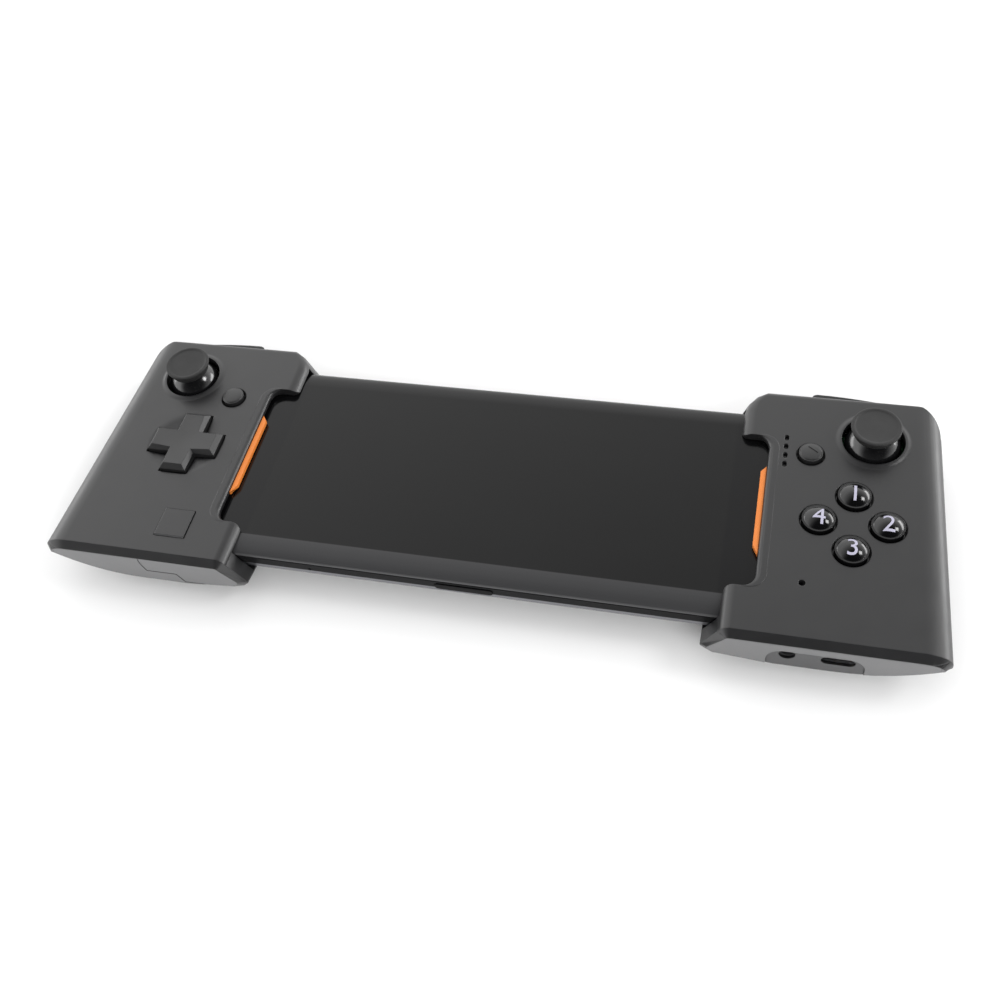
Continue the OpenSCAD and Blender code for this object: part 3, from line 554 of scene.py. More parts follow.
def round_edges(piece: bpy.types.Object, width_mm: float, chosen: EdgeRule, segments: int = 4) -> None:
    """Rounds some edges of a piece.

    Args:
        piece: The piece.
        width_mm: Width of the round.
        chosen: Tells from an edge's two ends whether it is rounded.
        segments: Steps across the round.
    """
    mesh = piece.data
    weights = mesh.attributes.new("bevel_weight_edge", "FLOAT", "EDGE")
    for edge in mesh.edges:
        ends = [mesh.vertices[i].co for i in edge.vertices]
        weights.data[edge.index].value = float(chosen(*ends))
    bevel = piece.modifiers.new("round", "BEVEL")
    bevel.width = width_mm * MM
    bevel.segments = segments
    bevel.limit_method = "WEIGHT"
    bake_modifiers(piece)


def bake_modifiers(piece: bpy.types.Object) -> None:
    """Replaces a piece's mesh by its evaluated one and removes its modifiers.

    Args:
        piece: The piece.
    """
    bpy.context.view_layer.update()
    seen = piece.evaluated_get(bpy.context.evaluated_depsgraph_get())
    mesh = bpy.data.meshes.new_from_object(seen)
    mesh.name = piece.name
    piece.modifiers.clear()
    piece.data = mesh


def smooth_by_angle(piece: bpy.types.Object, angle: float) -> None:
    """Shades a piece smooth, apart from edges that turn by more than an angle in degrees."""
    piece.data.shade_smooth()
    piece.data.set_sharp_from_angle(angle=math.radians(angle))


def weld_into(piece: bpy.types.Object, addition: bpy.types.Object) -> None:
    """Moves the mesh of one object, with its faces turned outwards, into another piece.

    Args:
        piece: The piece that grows.
        addition: The closed object that goes into it.
    """
    extra = bmesh.new()
    extra.from_mesh(addition.data)
    bmesh.ops.recalc_face_normals(extra, faces=extra.faces)
    extra.to_mesh(addition.data)
    extra.free()
    smooth_by_angle(addition, SHARP_TURNED)
    whole = bmesh.new()
    whole.from_mesh(piece.data)
    whole.from_mesh(addition.data)
    whole.to_mesh(piece.data)
    whole.free()
    bpy.data.objects.remove(addition)


def dress(piece: bpy.types.Object, material: bpy.types.Material) -> None:
    """Gives a piece one material."""
    piece.data.materials.clear()
    piece.data.materials.append(material)


def skin_piece(name: str, skin: bmesh.types.BMesh) -> bpy.types.Object:
    """Makes a linked mesh object from an open mesh, and closes that.

    Args:
        name: Its name.
        skin: The open mesh.

    Returns:
        The new object.
    """
    mesh = bpy.data.meshes.new(name)
    skin.to_mesh(mesh)
    skin.free()
    piece = bpy.data.objects.new(name, mesh)
    bpy.context.scene.collection.objects.link(piece)
    return piece


def mesh_piece(name: str, verts: list[Vector], faces: list[tuple[int, ...]]) -> bpy.types.Object:
    """Makes a linked mesh object.

    Args:
        name: Its name.
        verts: Points in metres, in the row frame.
        faces: Corner numbers of each face.

    Returns:
        The new object.
    """
    mesh = bpy.data.meshes.new(name)
    mesh.from_pydata([tuple(v) for v in verts], [], faces)
    mesh.update()
    piece = bpy.data.objects.new(name, mesh)
    bpy.context.scene.collection.objects.link(piece)
    return piece


def lathe(name: str, profile_mm: list[tuple[float, float]], centre: Vector, steps: int) -> bpy.types.Object:
    """Turns a profile about a vertical axis.

    Args:
        name: Name of the piece.
        profile_mm: Radius and height of each point, in millimetres; the first and last lie on the axis.
        centre: Foot of the axis, in metres.
        steps: Faces round the axis.

    Returns:
        The closed turned piece.
    """
    verts, faces = [], []
    inner = profile_mm[1:-1]
    for i in range(steps):
        turn = 2 * math.pi * i / steps
        for radius, height in inner:
            verts.append(centre + Vector((radius * math.cos(turn), radius * math.sin(turn), height)) * MM)
    low, high = len(verts), len(verts) + 1
    verts.append(centre + Vector((0, 0, profile_mm[0][1])) * MM)
    verts.append(centre + Vector((0, 0, profile_mm[-1][1])) * MM)
    n = len(inner)
    for i in range(steps):
        a, b = i * n, (i + 1) % steps * n
        faces.append((low, b, a))
        faces.append((high, a + n - 1, b + n - 1))
        faces.extend((a + k, b + k, b + k + 1, a + k + 1) for k in range(n - 1))
    return mesh_piece(name, verts, faces)


@dataclass
class Workshop:
    """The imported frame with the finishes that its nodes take."""

    frame: dict
    finishes: dict[Slot, bpy.types.Material]
    node_slot: dict[str, Slot] = field(default_factory=dict)
    node_body: dict[str, str] = field(default_factory=dict)

    def __post_init__(self) -> None:
        """Reads each node's slot and body from the record."""
        record = self.frame["record"]
        for part in record["subparts"]:
            self.node_slot[part["node"]] = Slot(part["material_slot"])
        for body, nodes in record["behaviour"]["bodies"].items():
            self.node_body.update({node: body for node in nodes})

    def paint_nodes(self) -> None:
        """Gives every CAD node the finish of its slot."""
        for name, node in self.frame["nodes"].items():
            dress(node, self.finishes[self.node_slot[name]])

    def refine(self, node: str, width_mm: float, segments: int = 2, angle: float = SHARP,
               wide: tuple[float, EdgeRule] | None = None) -> bpy.types.Object:
        """Replaces a CAD node by a copy with rounded edges.

        Args:
            node: The node's name.
            width_mm: Width of its rounded edges.
            segments: Steps across an edge.
            angle: Edges that turn by more than this many degrees are rounded.
            wide: Width of a wider round, and the rule that picks its edges.

        Returns:
            The new piece, riding where the node rides.
        """
        piece = soften_mesh(self.frame["nodes"][node], f"{node}_skin", width_mm, segments, angle, wide)
        return self.stand_in(piece, node)

    def stand_in(self, piece: bpy.types.Object, node: str) -> bpy.types.Object:
        """Lets a piece stand for a CAD node.

        Args:
            piece: The new piece.
            node: The node that it replaces.

        Returns:
            The piece.
        """
        slot = self.node_slot[node]
        dress(piece, self.finishes[slot])
        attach(piece, self.node_body[node])
        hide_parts(node)
        LOG.info("%s stands for %s", piece.name, node)
        return piece

    def flex(self, node: str, bodies: tuple[str, str]) -> None:
        """Replaces a node by a welded copy that rides on no body.

        Args:
            node: The node's name.
            bodies: Two bodies, named only in the log.
        """
        piece = soften_mesh(self.frame["nodes"][node], f"{node}_skin", 0.0)
        dress(piece, self.finishes[self.node_slot[node]])
        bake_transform(piece)
        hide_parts(node)
        LOG.info("%s flexes between %s and %s", piece.name, *bodies)

    def mount(self, piece: bpy.types.Object, body: str, material: bpy.types.Material) -> bpy.types.Object:
        """Adds a piece that replaces no node.

        Args:
            piece: The new piece.
            body: The body that carries it.
            material: Its finish.

        Returns:
            The piece.
        """
        dress(piece, material)
        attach(piece, body)
        LOG.info("%s rides on %s", piece.name, body)
        return piece


# Sub-assemblies


# Keys of each grip whose edges are rounded in more steps.
ROUND_KEYS = {Side.LEFT: ("dpad", "menu_button"), Side.RIGHT: ("start_button",)}
# Width of the rounded edges, in millimetres, of the small pieces that only one grip has.
SMALL_EDGES_MM = {
    Side.LEFT: {"left_tile": 0.12},
    Side.RIGHT: {"port_panel": 0.12, "light_pipe": 0.1, "charge_port": 0.0, "audio_jack": 0.15},
}


@dataclass
class GripMouldings:
    """The moulded outer pieces of one grip.

    The bay takes the phone's end, and a lip rolls from the top of its end wall towards the phone.
    """

    side: Side
    shell_edge_mm: float = 0.3
    key_edge_mm: float = 0.25
    key_steps: int = 3
    trim_root_mm: float = 1.0
    bay_edge_mm: float = 0.8
    bay_margin_mm: float = 11.0
    bay_spare_mm: float = 0.1
    bay_rise_mm: float = 2.0
    bay_radius_mm: float = 4.5
    bay_near_mm: float = -30.0
    bay_far_mm: float = 23.1
    level_mm: float = 0.01
    plate_mm: float = 18.005
    lip_mm: float = 1.15
    lip_root_mm: float = 0.9
    lip_slope_mm: float = 0.8
    lip_sink_mm: float = 0.012
    lip_round_mm: float = 1.1
    lip_clear_mm: float = 1.05
    lip_end_share: float = 0.02
    lip_steps: int = 12

    def build(self, shop: Workshop) -> None:
        """Softens the shells, keys, triggers and trims of the grip.

        Args:
            shop: The workshop.
        """
        word = self.side.word
        shell = shop.refine(f"{word}_front_shell", self.shell_edge_mm,
                            wide=(self.bay_edge_mm, self.bay_edges()))
        self.roll_lip(shell)
        shop.refine(f"{word}_rear_shell", self.shell_edge_mm)
        for node in (f"{word}_bumper", f"{word}_trigger", f"{word}_bay_trim"):
            shop.refine(node, self.key_edge_mm)
        for node in ROUND_KEYS[self.side]:
            shop.refine(node, self.key_edge_mm, self.key_steps)
        for node, edge_mm in SMALL_EDGES_MM[self.side].items():
            shop.refine(node, edge_mm)

    def roll_lip(self, shell: bpy.types.Object) -> None:
        """Adds the rolled lip of the bay's end wall to a front shell.

        Args:
            shell: The shell's skin.
        """
        low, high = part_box(f"{self.side.word}_bay_trim")
        out = math.copysign(1.0, low.x)
        wall = max(abs(low.x), abs(high.x)) / MM - self.trim_root_mm
        section = self.lip_section()
        verts = []
        radius = self.bay_radius_mm
        for corner_y, first in ((self.bay_near_mm + radius, -90.0), (self.bay_far_mm - radius, 0.0)):
            for i in range(self.lip_steps + 1):
                turn = math.radians(first + 90 * i / self.lip_steps)
                across, along = math.cos(turn), math.sin(turn)
                for reach, height in section:
                    span = radius - reach * max(across, self.lip_end_share)
                    x, y = wall - radius + span * across, corner_y + span * along
                    verts.append(Vector((out * x, y, height)) * MM)
        n, rows = len(section), 2 * (self.lip_steps + 1)
        faces = [(k * n + i, k * n + (i + 1) % n, (k + 1) * n + (i + 1) % n, (k + 1) * n + i)
                 for k in range(rows - 1) for i in range(n)]
        faces += [tuple(range(n)), tuple(range((rows - 1) * n, rows * n))]
        lip = mesh_piece("lip", verts, faces)
        weld_into(shell, lip)

    def lip_section(self) -> list[tuple[float, float]]:
        """Draws the lip's section, from its foot in the wall over its top to its foot beside the phone.

        Returns:
            Each point's reach from the wall towards the phone and its height, in millimetres.
        """
        foot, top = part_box("phone_glass")[1].z / MM + self.lip_clear_mm, self.plate_mm
        back = -self.lip_root_mm - self.lip_slope_mm
        section = [(back, foot), (back, top - self.lip_sink_mm), (-self.lip_root_mm, top)]
        for i in range(self.lip_steps + 1):
            turn = math.radians(90 * i / self.lip_steps)
            reach = self.lip_mm - self.lip_round_mm * (1 - math.sin(turn))
            section.append((reach, top - self.lip_round_mm * (1 - math.cos(turn))))
        section.append((self.lip_mm, foot))
        return section

    def bay_edges(self) -> EdgeRule:
        """Finds the upper edges of the bay beside the phone.

        Returns:
            The rule that picks them.
        """
        low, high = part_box(f"{self.side.word}_bay_trim")
        wall = max(abs(low.x), abs(high.x)) - (self.trim_root_mm - self.bay_spare_mm) * MM
        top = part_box("phone_glass")[1].z + self.bay_rise_mm * MM
        near, far = low.y - self.bay_margin_mm * MM, high.y + self.bay_margin_mm * MM
        level = self.level_mm * MM

        def in_bay(place: Vector) -> bool:
            """Tells whether a point lies in the upper part of the bay."""
            return place.z > top and abs(place.x) < wall and near < place.y < far

        return lambda start, end: in_bay(start) and in_bay(end) and abs(start.z - end.z) < level


@dataclass
class Thumbstick:
    """A stick's rubber cap and the dome below it.

    The cap's outline runs from below upwards. Each point gives the inset from the cap's radius in
    millimetres and the share of its height.
    """

    side: Side
    outline: tuple[tuple[float, float], ...] = (
        (1.5, 0.0), (1.2, 0.02), (1.02, 0.08), (0.62, 0.37), (0.28, 0.62), (0.1, 0.77), (0.02, 0.83),
        (0.0, 0.87), (0.03, 0.915), (0.12, 0.96), (0.28, 0.99), (0.48, 1.0), (0.75, 0.995), (0.98, 0.975),
        (1.15, 0.94), (1.35, 0.92), (1.7, 0.912), (2.4, 0.905), (4.5, 0.89))
    floor: float = 0.885
    steps: int = 96
    dome_edge_mm: float = 0.15

    def build(self, shop: Workshop) -> None:
        """Turns a tapered cap with a raised rim, and softens the dome.

        Args:
            shop: The workshop.
        """
        node = f"{self.side.word}_stick_cap"
        low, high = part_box(node)
        centre = Vector(((low.x + high.x) / 2, (low.y + high.y) / 2, low.z))
        radius = (high.x - low.x) / 2 / MM
        height = (high.z - low.z) / MM
        profile = [(radius - inset, share * height) for inset, share in self.outline]
        cap = lathe(f"{node}_skin", [(0.0, 0.0), *profile, (0.0, self.floor * height)], centre, self.steps)
        smooth_by_angle(cap, SHARP_TURNED)
        shop.stand_in(cap, node)
        shop.refine(f"{self.side.word}_stick_stem", self.dome_edge_mm)


@dataclass
class FaceButton:
    """A domed gloss button with a printed number."""

    node: str
    body: str
    number: str
    edge_mm: float = 0.12
    height_mm: float = 5.2
    lift_mm: float = 0.04
    ink_mm: float = 0.03

    def build(self, shop: Workshop, ink: bpy.types.Material) -> None:
        """Softens the button and lays its number on the dome.

        Args:
            shop: The workshop.
            ink: The number's finish.
        """
        shop.refine(self.node, self.edge_mm)
        low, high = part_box(self.node)
        middle = Vector(((low.x + high.x) / 2, (low.y + high.y) / 2, high.z))
        mark = printed_text(f"{self.node}_number", self.number, self.height_mm, middle)
        lay_on(mark, shop.frame["nodes"][self.node], self.lift_mm, self.ink_mm)
        shop.mount(mark, self.body, ink)


def printed_text(name: str, words: str, height_mm: float, middle: Vector) -> bpy.types.Object:
    """Makes flat lettering centred over a point, upright towards +Y.

    Args:
        name: Name of the piece.
        words: What it says.
        height_mm: Height of a capital or figure.
        middle: Its middle, in metres.

    Returns:
        A flat mesh with edges short enough to follow a dome.
    """
    curve = bpy.data.curves.new(name, "FONT")
    curve.body = words
    curve.align_x = "CENTER"
    curve.align_y = "CENTER"
    # The fill needs a large figure, so the mesh is scaled down afterwards.
    curve.size = 1.0
    curve.resolution_u = 8
    stamp = bpy.data.objects.new(f"{name}_curve", curve)
    bpy.context.scene.collection.objects.link(stamp)
    bpy.context.view_layer.update()
    mesh = bpy.data.meshes.new_from_object(stamp.evaluated_get(bpy.context.evaluated_depsgraph_get()))
    bpy.data.objects.remove(stamp)
    weld, longest, rounds = 1e-5, 0.05, 4
    flat = bmesh.new()
    flat.from_mesh(mesh)
    bpy.data.meshes.remove(mesh)
    bmesh.ops.remove_doubles(flat, verts=flat.verts, dist=weld)
    low = Vector((min(v.co.x for v in flat.verts), min(v.co.y for v in flat.verts), 0))
    high = Vector((max(v.co.x for v in flat.verts), max(v.co.y for v in flat.verts), 0))
    bmesh.ops.translate(flat, verts=flat.verts, vec=-(low + high) / 2)
    bmesh.ops.triangulate(flat, faces=flat.faces)
    for _ in range(rounds):
        long_edges = [e for e in flat.edges if e.calc_length() > longest]
        bmesh.ops.subdivide_edges(flat, edges=long_edges, cuts=1)
        bmesh.ops.triangulate(flat, faces=flat.faces)
    size = height_mm * MM / (high.y - low.y)
    bmesh.ops.transform(flat, matrix=Matrix.Translation(middle) @ Matrix.Scale(size, 4), verts=flat.verts)
    return skin_piece(name, flat)


def lay_on(mark: bpy.types.Object, carrier: bpy.types.Object, lift_mm: float, ink_mm: float) -> None:
    """Drops a flat mark straight down onto a piece and gives it the thickness of ink.

    Args:
        mark: The flat mark above the piece.
        carrier: The piece that it lies on.
        lift_mm: Height of the ink's underside over the piece.
        ink_mm: Thickness of the ink.
    """
    skin = carrier.data
    tree = BVHTree.FromPolygons([v.co for v in skin.vertices], [p.vertices for p in skin.polygons])
    above = 5 * MM
    for vert in mark.data.vertices:
        point = tree.ray_cast(vert.co + Vector((0, 0, above)), Vector((0, 0, -1)))[0]
        if point:
            vert.co.z = point.z + lift_mm * MM
    solid = mark.modifiers.new("ink", "SOLIDIFY")
    solid.thickness = ink_mm * MM
    solid.offset = 1.0
    bake_modifiers(mark)


@dataclass
class StartMark:
    """The short slanted line printed on the start key."""

    length_mm: float = 3.4
    width_mm: float = 0.36
    slant: float = -36.0
    shift_mm: tuple[float, float] = (0.5, 0.8)
    lift_mm: float = 0.03
    ink_mm: float = 0.02
    steps: int = 10

    def build(self, shop: Workshop, ink: bpy.types.Material) -> None:
        """Lays the line on the key.

        Args:
            shop: The workshop.
            ink: The line's finish.
        """
        low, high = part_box("start_button")
        middle = (low + high) / 2 + Vector((*self.shift_mm, 0.0)) * MM
        middle.z = high.z
        turn = Matrix.Rotation(math.radians(self.slant), 3, "Z")
        verts, faces = [], []
        for i in range(self.steps + 1):
            for side in (-1, 1):
                along = (i / self.steps - 0.5) * self.length_mm
                flat = Vector((along, side * self.width_mm / 2, 0)) * MM
                verts.append(middle + turn @ flat)
        for i in range(self.steps):
            faces.append((2 * i, 2 * i + 2, 2 * i + 3, 2 * i + 1))
        line = mesh_piece("start_button_line", verts, faces)
        lay_on(line, shop.frame["nodes"]["start_button"], self.lift_mm, self.ink_mm)
        shop.mount(line, "start_key", ink)


@dataclass
class Phone:
    """The phone that the grips hold."""

    edge_mm: float = 0.2
    angle: float = 30.0

    def build(self, shop: Workshop) -> None:
        """Softens the phone's glass, back, frame and key.

        Args:
            shop: The workshop.
        """
        for node in ("phone_glass", "phone_back", "phone_frame"):
            shop.refine(node, self.edge_mm, angle=self.angle)
        shop.refine("phone_side_key", self.edge_mm)


@dataclass
class KeyMat:
    """A silicone sheet with a dome under each button, which flattens as its button goes down."""

    side: Side
    sheet_mm: float = 0.62
    dome_radius_mm: float = 3.5
    dpad_arm_mm: float = 8.4
    dpad_travel_mm: float = 0.9
    spare_mm: float = 0.06
    dpad_gap_mm: float = 0.1

    def build(self, shop: Workshop) -> None:
        """Cuts the mat into its sheet and its domes, and lowers each dome under the direction pad a little.

        Args:
            shop: The workshop.
        """
        node = f"{self.side.word}_keypad"
        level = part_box(node)[0].z + self.sheet_mm * MM
        shop.stand_in(self.cut(shop, node, f"{node}_sheet", level, None), node)
        for name, joint, middle, travel in self.domes(shop):
            dome = shop.stand_in(self.cut(shop, node, f"{node}_dome_{name}", level, middle), node)
            height = max(v.co.z for v in dome.data.vertices) - level
            if joint.startswith("dpad"):
                # The pad rocks sideways over a dome too, so the dome ends a little lower.
                lower = Matrix.Diagonal((1, 1, 1 - self.dpad_gap_mm * MM / height, 1))
                base = Matrix.Translation((0, 0, level))
                dome.data.transform(base @ lower @ base.inverted())
            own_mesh(dome)

    def domes(self, shop: Workshop) -> list[tuple[str, str, Vector, float]]:
        """Lists the domes of the mat.

        Args:
            shop: The workshop.

        Returns:
            The name, joint, middle and travel in millimetres of each dome.
        """
        keys = {"menu": "menu_button"}
        if self.side is Side.RIGHT:
            keys = {f"face_{way}": f"face_button_{way}" for way in ("north", "east", "south", "west")}
            keys["start"] = "start_button"
        joints = shop.frame["record"]["behaviour"]["joints"]
        travels = {j["name"]: j.get("range_m", [0, 0])[1] / MM for j in joints}
        found = []
        for name, key in keys.items():
            low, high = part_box(key)
            found.append((name, f"{name}_press", (low + high) / 2, travels[f"{name}_press"]))
        if self.side is Side.LEFT:
            low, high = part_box("dpad")
            arm = self.dpad_arm_mm * MM
            for name, joint, step in (("north", "dpad_tilt_y", (0, arm, 0)),
                                      ("south", "dpad_tilt_y", (0, -arm, 0)),
                                      ("east", "dpad_tilt_x", (arm, 0, 0)),
                                      ("west", "dpad_tilt_x", (-arm, 0, 0))):
                found.append((name, joint, (low + high) / 2 + Vector(step), self.dpad_travel_mm))
        return found

    def cut(self, shop: Workshop, node: str, name: str, level: float,
            middle: Vector | None) -> bpy.types.Object:
        """Copies one part of the mat.

        Args:
            shop: The workshop.
            node: The mat's node.
            name: Name of the new piece.
            level: Height of the cut in metres.
            middle: Middle of the dome above the cut, or nothing for the sheet below it.

        Returns:
            The closed part.
        """
        part = bmesh.new()
        part.from_mesh(shop.frame["nodes"][node].data)
        bmesh.ops.remove_doubles(part, verts=part.verts, dist=WELD)
        everything = part.verts[:] + part.edges[:] + part.faces[:]
        side = {"clear_outer": True} if middle is None else {"clear_inner": True}
        bmesh.ops.bisect_plane(part, geom=everything, plane_co=(0, 0, level), plane_no=(0, 0, 1), **side)
        if middle is not None:
            reach = self.dome_radius_mm * MM
            far = [v for v in part.verts if (v.co.xy - middle.xy).length > reach]
            bmesh.ops.delete(part, geom=far, context="VERTS")
        bmesh.ops.holes_fill(part, edges=[e for e in part.edges if e.is_boundary], sides=0)
        bmesh.ops.recalc_face_normals(part, faces=part.faces)
        piece = skin_piece(name, part)
        smooth_by_angle(piece, SHARP)
        return piece


@dataclass
class Bridge:
    """The sprung sliding bridge under the phone."""

    edge_mm: float = 0.2
    inset_mm: float = 1.5

    def build(self, shop: Workshop) -> None:
        """Softens the tray, cover and tongue, and replaces the springs and the ribbon by welded copies.

        Args:
            shop: The workshop.
        """
        for node in ("bridge_tray", "bridge_cover", "bridge_tongue"):
            shop.refine(node, self.edge_mm)
        for node in ("bridge_springs", "bridge_ribbon"):
            self.stretch(shop, node)

    def stretch(self, shop: Workshop, node: str) -> None:
        """Replaces a node by a welded copy that rides on no body.

        Args:
            shop: The workshop.
            node: The node's name.
        """
        shop.flex(node, ("left_grip", "right_grip"))


@dataclass
class TriggerSpring:
    """The coil behind one trigger, with one leg on the floor and one on the trigger."""

    side: Side
    leg_mm: float = 0.6

    def build(self, shop: Workshop) -> None:
        """Replaces the coil by a welded copy that rides on no body.

        Args:
            shop: The workshop.
        """
        word = self.side.word
        shop.flex(f"{word}_trigger_spring", (f"{word}_grip", f"{word}_trigger_lever"))


# Repeated pieces


def tree_inputs(tree: bpy.types.NodeTree, inputs: dict[str, str]) -> bpy.types.Node:
    """Gives a geometry tree its named inputs and its one output.

    Args:
        tree: The geometry tree.
        inputs: Socket kinds by input name.

    Returns:
        The group input node.
    """
    for name, kind in inputs.items():
        tree.interface.new_socket(name=name, in_out="INPUT", socket_type=kind)
    tree.interface.new_socket(name="Geometry", in_out="OUTPUT", socket_type="NodeSocketGeometry")
    return add_node(tree, "NodeGroupInput")


def place_copies(tree: bpy.types.NodeTree, given: bpy.types.NodeOutputs,
                 part: bpy.types.NodeSocket) -> None:
    """Ends a geometry tree with a copy of a part at each given point, as a mesh in the given finish.

    Args:
        tree: The geometry tree.
        given: The tree's inputs, with Points and Finish among them.
        part: The part's geometry.
    """
    dots = add_node(tree, "GeometryNodeMeshToPoints", None, {"Mesh": given["Points"]})
    placed = add_node(tree, "GeometryNodeInstanceOnPoints", None,
                      {"Points": dots.outputs["Points"], "Instance": part})
    real = add_node(tree, "GeometryNodeRealizeInstances", None,
                    {"Geometry": placed.outputs["Instances"]})
    done = add_node(tree, "GeometryNodeSetMaterial", None,
                    {"Geometry": real.outputs["Geometry"], "Material": given["Finish"]})
    add_node(tree, "NodeGroupOutput", None, {"Geometry": done.outputs["Geometry"]})


def lifted(tree: bpy.types.NodeTree, part: bpy.types.NodeSocket,
           height: bpy.types.NodeSocket) -> bpy.types.NodeSocket:
    """Lifts a part in a geometry tree.

    Args:
        tree: The geometry tree.
        part: The part's geometry.
        height: The height that it is lifted by.

    Returns:
        The lifted geometry.
    """
    shift = add_node(tree, "ShaderNodeCombineXYZ", None, {"Z": height})
    moved = add_node(tree, "GeometryNodeTransform", None,
                     {"Geometry": part, "Translation": shift.outputs[0]})
    return moved.outputs["Geometry"]


def grow(piece: bpy.types.Object, tree: bpy.types.NodeTree, values: dict[str, object]) -> None:
    """Runs a geometry tree on a piece and keeps the result as a plain mesh.

    Args:
        piece: The piece that the tree starts from.
        tree: The tree.
        values: Its input values by name.
    """
    modifier = piece.modifiers.new(tree.name, "NODES")
    modifier.node_group = tree
    for item in tree.interface.items_tree:
        if item.in_out == "INPUT" and item.name in values:
            modifier[item.identifier] = values[item.name]
    bake_modifiers(piece)


@dataclass
class CaseScrews:
    """The cross-head screws that close one grip from below.

    The recess of a head has the length and the width of its bars as shares of the head's radius.
    """

    side: Side
    head_mm: float = 1.85
    head_high_mm: float = 1.35
    shank_mm: float = 0.62
    thread_mm: float = 0.16
    turns: float = 10.0
    recess: tuple[float, float] = (1.2, 0.28)

    def build(self, shop: Workshop, steel: bpy.types.Material) -> None:
        """Grows one screw at each place where the CAD has one.

        Args:
            shop: The workshop.
            steel: The screws' finish.
        """
        node = f"{self.side.word}_case_screws"
        places, length = self.places(shop.frame["nodes"][node])
        screws = mesh_piece(f"{node}_skin", places, [])
        sizes = {"Head Radius": self.head_mm * MM, "Head Height": self.head_high_mm * MM,
                 "Shank Radius": self.shank_mm * MM, "Shank Length": length - self.head_high_mm * MM,
                 "Thread": self.thread_mm * MM, "Turns": self.turns, "Finish": steel}
        grow(screws, self.tree(), sizes)
        smooth_by_angle(screws, SHARP)
        shop.stand_in(screws, node)

    def places(self, node: bpy.types.Object) -> tuple[list[Vector], float]:
        """Finds the foot of each screw in the CAD node.

        Args:
            node: The CAD node with all the screws of the grip.

        Returns:
            The middle of each head's underside, and the length of a screw.
        """
        skin = bmesh.new()
        skin.from_mesh(node.data)
        bmesh.ops.remove_doubles(skin, verts=skin.verts, dist=WELD)
        left, found, length = set(skin.verts), [], 0.0
        while left:
            queue, island = [left.pop()], []
            while queue:
                vert = queue.pop()
                island.append(vert.co.copy())
                for edge in vert.link_edges:
                    other = edge.other_vert(vert)
                    if other in left:
                        left.remove(other)
                        queue.append(other)
            low = Vector(min(c[i] for c in island) for i in range(3))
            high = Vector(max(c[i] for c in island) for i in range(3))
            found.append(Vector(((low.x + high.x) / 2, (low.y + high.y) / 2, low.z)))
            length = high.z - low.z
        skin.free()
        return sorted(found, key=lambda p: (round(p.x, 5), round(p.y, 5))), length

    def tree(self) -> bpy.types.NodeTree:
        """Makes the tree that grows a cross-head screw at each point.

        Returns:
            The tree.
        """
        tree = bpy.data.node_groups.new(f"{self.side.word}_screws", "GeometryNodeTree")
        given = tree_inputs(tree, {
            "Points": "NodeSocketGeometry", "Head Radius": "NodeSocketFloat",
            "Head Height": "NodeSocketFloat", "Shank Radius": "NodeSocketFloat",
            "Shank Length": "NodeSocketFloat", "Thread": "NodeSocketFloat",
            "Turns": "NodeSocketFloat", "Finish": "NodeSocketMaterial"}).outputs
        head = add_node(tree, "GeometryNodeMeshCylinder", {"Vertices": 32},
                        {"Radius": given["Head Radius"], "Depth": given["Head Height"]})
        half = add_node(tree, "ShaderNodeMath", {"operation": "MULTIPLY", 1: 0.5},
                        {0: given["Head Height"]})
        head_up = lifted(tree, head.outputs["Mesh"], half.outputs[0])
        cross = add_node(tree, "GeometryNodeJoinGeometry")
        wide, slim = (add_node(tree, "ShaderNodeMath", {"operation": "MULTIPLY", 1: share},
                               {0: given["Head Radius"]}) for share in self.recess)
        for long_axis, short_axis in (("X", "Y"), ("Y", "X")):
            size = add_node(tree, "ShaderNodeCombineXYZ", None,
                            {long_axis: wide.outputs[0], short_axis: slim.outputs[0],
                             "Z": given["Head Height"]})
            bar = add_node(tree, "GeometryNodeMeshCube", None, {"Size": size.outputs[0]})
            tree.links.new(bar.outputs["Mesh"], cross.inputs["Geometry"])
        cut = add_node(tree, "GeometryNodeMeshBoolean", {"operation": "DIFFERENCE"},
                       {"Mesh 1": head_up, "Mesh 2": cross.outputs["Geometry"]})
        shank = add_node(tree, "GeometryNodeMeshCylinder", {"Vertices": 20},
                         {"Radius": given["Shank Radius"], "Depth": given["Shank Length"]})
        reach = add_node(tree, "ShaderNodeMath", {"operation": "MULTIPLY_ADD", 1: 0.5},
                         {0: given["Shank Length"], 2: given["Head Height"]})
        shank_up = lifted(tree, shank.outputs["Mesh"], reach.outputs[0])
        helix = add_node(tree, "GeometryNodeCurveSpiral", {"Resolution": 14},
                         {"Rotations": given["Turns"], "Start Radius": given["Shank Radius"],
                          "End Radius": given["Shank Radius"], "Height": given["Shank Length"]})
        ridge = add_node(tree, "GeometryNodeCurvePrimitiveCircle", {"Resolution": 5},
                         {"Radius": given["Thread"]})
        thread = add_node(tree, "GeometryNodeCurveToMesh", {"Fill Caps": True},
                          {"Curve": helix.outputs["Curve"], "Profile Curve": ridge.outputs["Curve"]})
        thread_up = lifted(tree, thread.outputs["Mesh"], given["Head Height"])
        screw = add_node(tree, "GeometryNodeJoinGeometry")
        for part in (cut.outputs["Mesh"], shank_up, thread_up):
            tree.links.new(part, screw.inputs["Geometry"])
        place_copies(tree, given, screw.outputs["Geometry"])
        return tree


